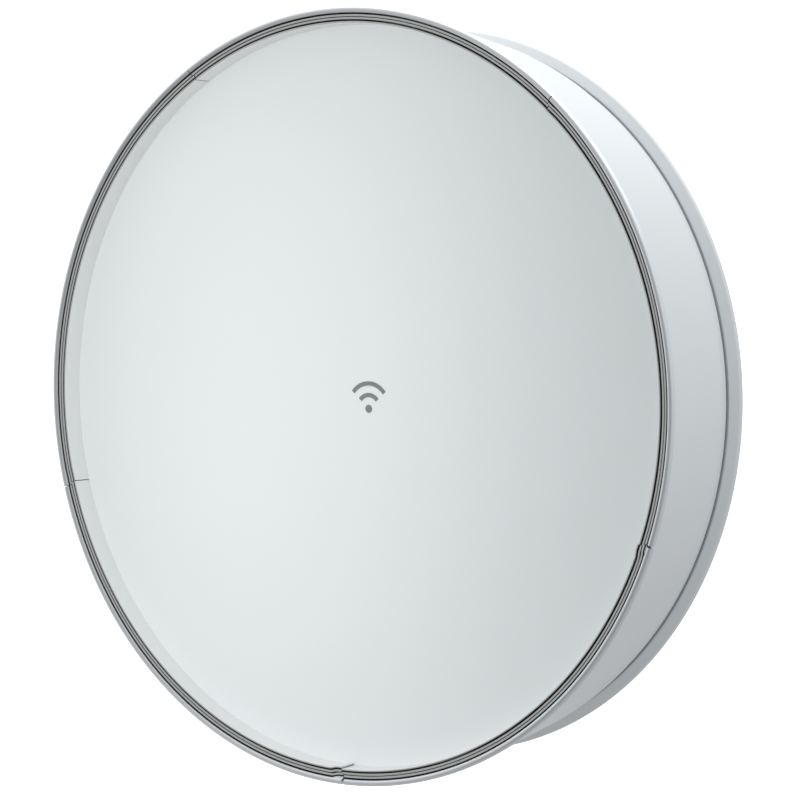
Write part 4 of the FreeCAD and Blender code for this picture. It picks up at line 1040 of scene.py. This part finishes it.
class BRIDGE_OT_studio(bpy.types.Operator):
    """Set the camera, the pale floor and the soft lights"""
    bl_idname = "bridge.studio"
    bl_label = "Studio"

    def execute(self, context):
        studio = context.scene.bridge_studio
        self.camera(context, studio)
        self.floor(context, studio)
        self.world(context, studio)
        self.softbox(context, studio)
        context.scene.view_settings.view_transform = "Standard"
        return {"FINISHED"}

    def camera(self, context, studio):
        lens = bpy.data.cameras.new("camera")
        lens.lens = studio.lens
        lens.sensor_width = 36.0
        lens.clip_end = 1000.0
        camera = bpy.data.objects.new("camera", lens)
        context.scene.collection.objects.link(camera)
        away = Vector((math.sin(studio.azimuth) * math.cos(studio.elevation),
                       -math.cos(studio.azimuth) * math.cos(studio.elevation), math.sin(studio.elevation)))
        camera.location = Vector(studio.target) + away * studio.distance
        camera.rotation_euler = away.to_track_quat("Z", "Y").to_euler()
        context.scene.camera = camera

    def floor(self, context, studio):
        bm = bmesh.new()
        bmesh.ops.create_circle(bm, cap_ends=True, segments=96, radius=studio.floor_radius)
        bmesh.ops.translate(bm, verts=bm.verts, vec=(0, 0, -studio.floor_drop))
        mesh = bpy.data.meshes.new("floor")
        bm.to_mesh(mesh)
        bm.free()
        made = Nodes("floor_paint", studio.floor_colour, 0.8)
        made.shade(made.noise(0.4), 0.995, 1.0)
        made.shader.inputs["Emission Color"].default_value = (1.0, 1.0, 1.0, 1.0)
        made.shader.inputs["Emission Strength"].default_value = studio.floor_glow
        mesh.materials.append(made.material)
        floor = bpy.data.objects.new("floor", mesh)
        context.scene.collection.objects.link(floor)
        floor.visible_diffuse = False
        floor.visible_glossy = False

    def world(self, context, studio):
        """Soft light from all round, stronger from above, behind and the left, and a patch overhead."""
        world = bpy.data.worlds.new("soft_studio")
        world.use_nodes = True
        tree = world.node_tree
        way = tree.nodes.new("ShaderNodeTexCoord").outputs["Generated"]
        split = tree.nodes.new("ShaderNodeSeparateXYZ")
        tree.links.new(way, split.inputs["Vector"])
        patch = tree.nodes.new("ShaderNodeVectorMath")
        patch.operation = "DOT_PRODUCT"
        patch.inputs[1].default_value = Vector(studio.zenith_way).normalized()
        tree.links.new(way, patch.inputs[0])
        height = graded(tree, split.outputs["Z"], -studio.horizon, studio.horizon, studio.ground, studio.sky)
        glow = graded(tree, patch.outputs["Value"], studio.zenith_edge, 1.0, 0.0, studio.zenith)
        glow.interpolation_type = "SMOOTHSTEP"
        ahead = graded(tree, split.outputs["Y"], -1.0, 0.0, studio.ahead, 1.0)
        left = graded(tree, split.outputs["X"], -0.9, -0.1, studio.left, 1.0)
        total = worked_out(tree, "ADD", height.outputs["Result"], glow.outputs["Result"])
        shaded = worked_out(tree, "MULTIPLY", total, ahead.outputs["Result"])
        sided = worked_out(tree, "MULTIPLY", shaded, left.outputs["Result"])
        back = tree.nodes["Background"]
        back.inputs["Color"].default_value = (*studio.sky_tint, 1.0)
        tree.links.new(sided, back.inputs["Strength"])
        context.scene.world = world

    def softbox(self, context, studio):
        """A tall softbox close in front of the radome's left half; the right half stays in gentle shade."""
        light = bpy.data.lights.new("key_softbox", "AREA")
        light.shape = "RECTANGLE"
        light.size = studio.key_width
        light.size_y = studio.key_height
        light.energy = studio.key
        lamp = bpy.data.objects.new("key_softbox", light)
        context.scene.collection.objects.link(lamp)
        lamp.visible_camera = False
        lamp.visible_glossy = False
        lamp.location = studio.key_place
        lamp.rotation_euler = (math.pi / 2, 0.0, 0.0)


# ---------------------------------------------------------------- add-on

PIECES = (BRIDGE_OT_shroud, BRIDGE_OT_reflector, BRIDGE_OT_radome, BRIDGE_OT_choke_ring, BRIDGE_OT_housing,
          BRIDGE_OT_brackets, BRIDGE_OT_nuts, BRIDGE_OT_bolts)
OPERATORS = (BRIDGE_OT_finishes, *PIECES, BRIDGE_OT_studio)


class BRIDGE_PT_panel(bpy.types.Panel):
    """The bridge's operators and sizes"""
    bl_idname = "BRIDGE_PT_panel"
    bl_label = "Wireless Bridge"
    bl_space_type = "VIEW_3D"
    bl_region_type = "UI"
    bl_category = "Bridge"

    def draw(self, context):
        for operator in OPERATORS:
            self.layout.operator(operator.bl_idname)
        for group in (context.scene.bridge_sizes, context.scene.bridge_colours, context.scene.bridge_studio):
            for name in group.__annotations__:
                self.layout.prop(group, name)


CLASSES = (BridgeSizes, BridgeColours, BridgeStudio, *OPERATORS, BRIDGE_PT_panel)


def register():
    for item in CLASSES:
        bpy.utils.register_class(item)
    bpy.types.Scene.bridge_sizes = PointerProperty(type=BridgeSizes)
    bpy.types.Scene.bridge_colours = PointerProperty(type=BridgeColours)
    bpy.types.Scene.bridge_studio = PointerProperty(type=BridgeStudio)


def unregister():
    del bpy.types.Scene.bridge_studio
    del bpy.types.Scene.bridge_colours
    del bpy.types.Scene.bridge_sizes
    for item in reversed(CLASSES):
        bpy.utils.unregister_class(item)


def main():
    register()
    for operator in OPERATORS:
        group, name = operator.bl_idname.split(".")
        getattr(getattr(bpy.ops, group), name)()


if __name__ == "__main__":
    main()
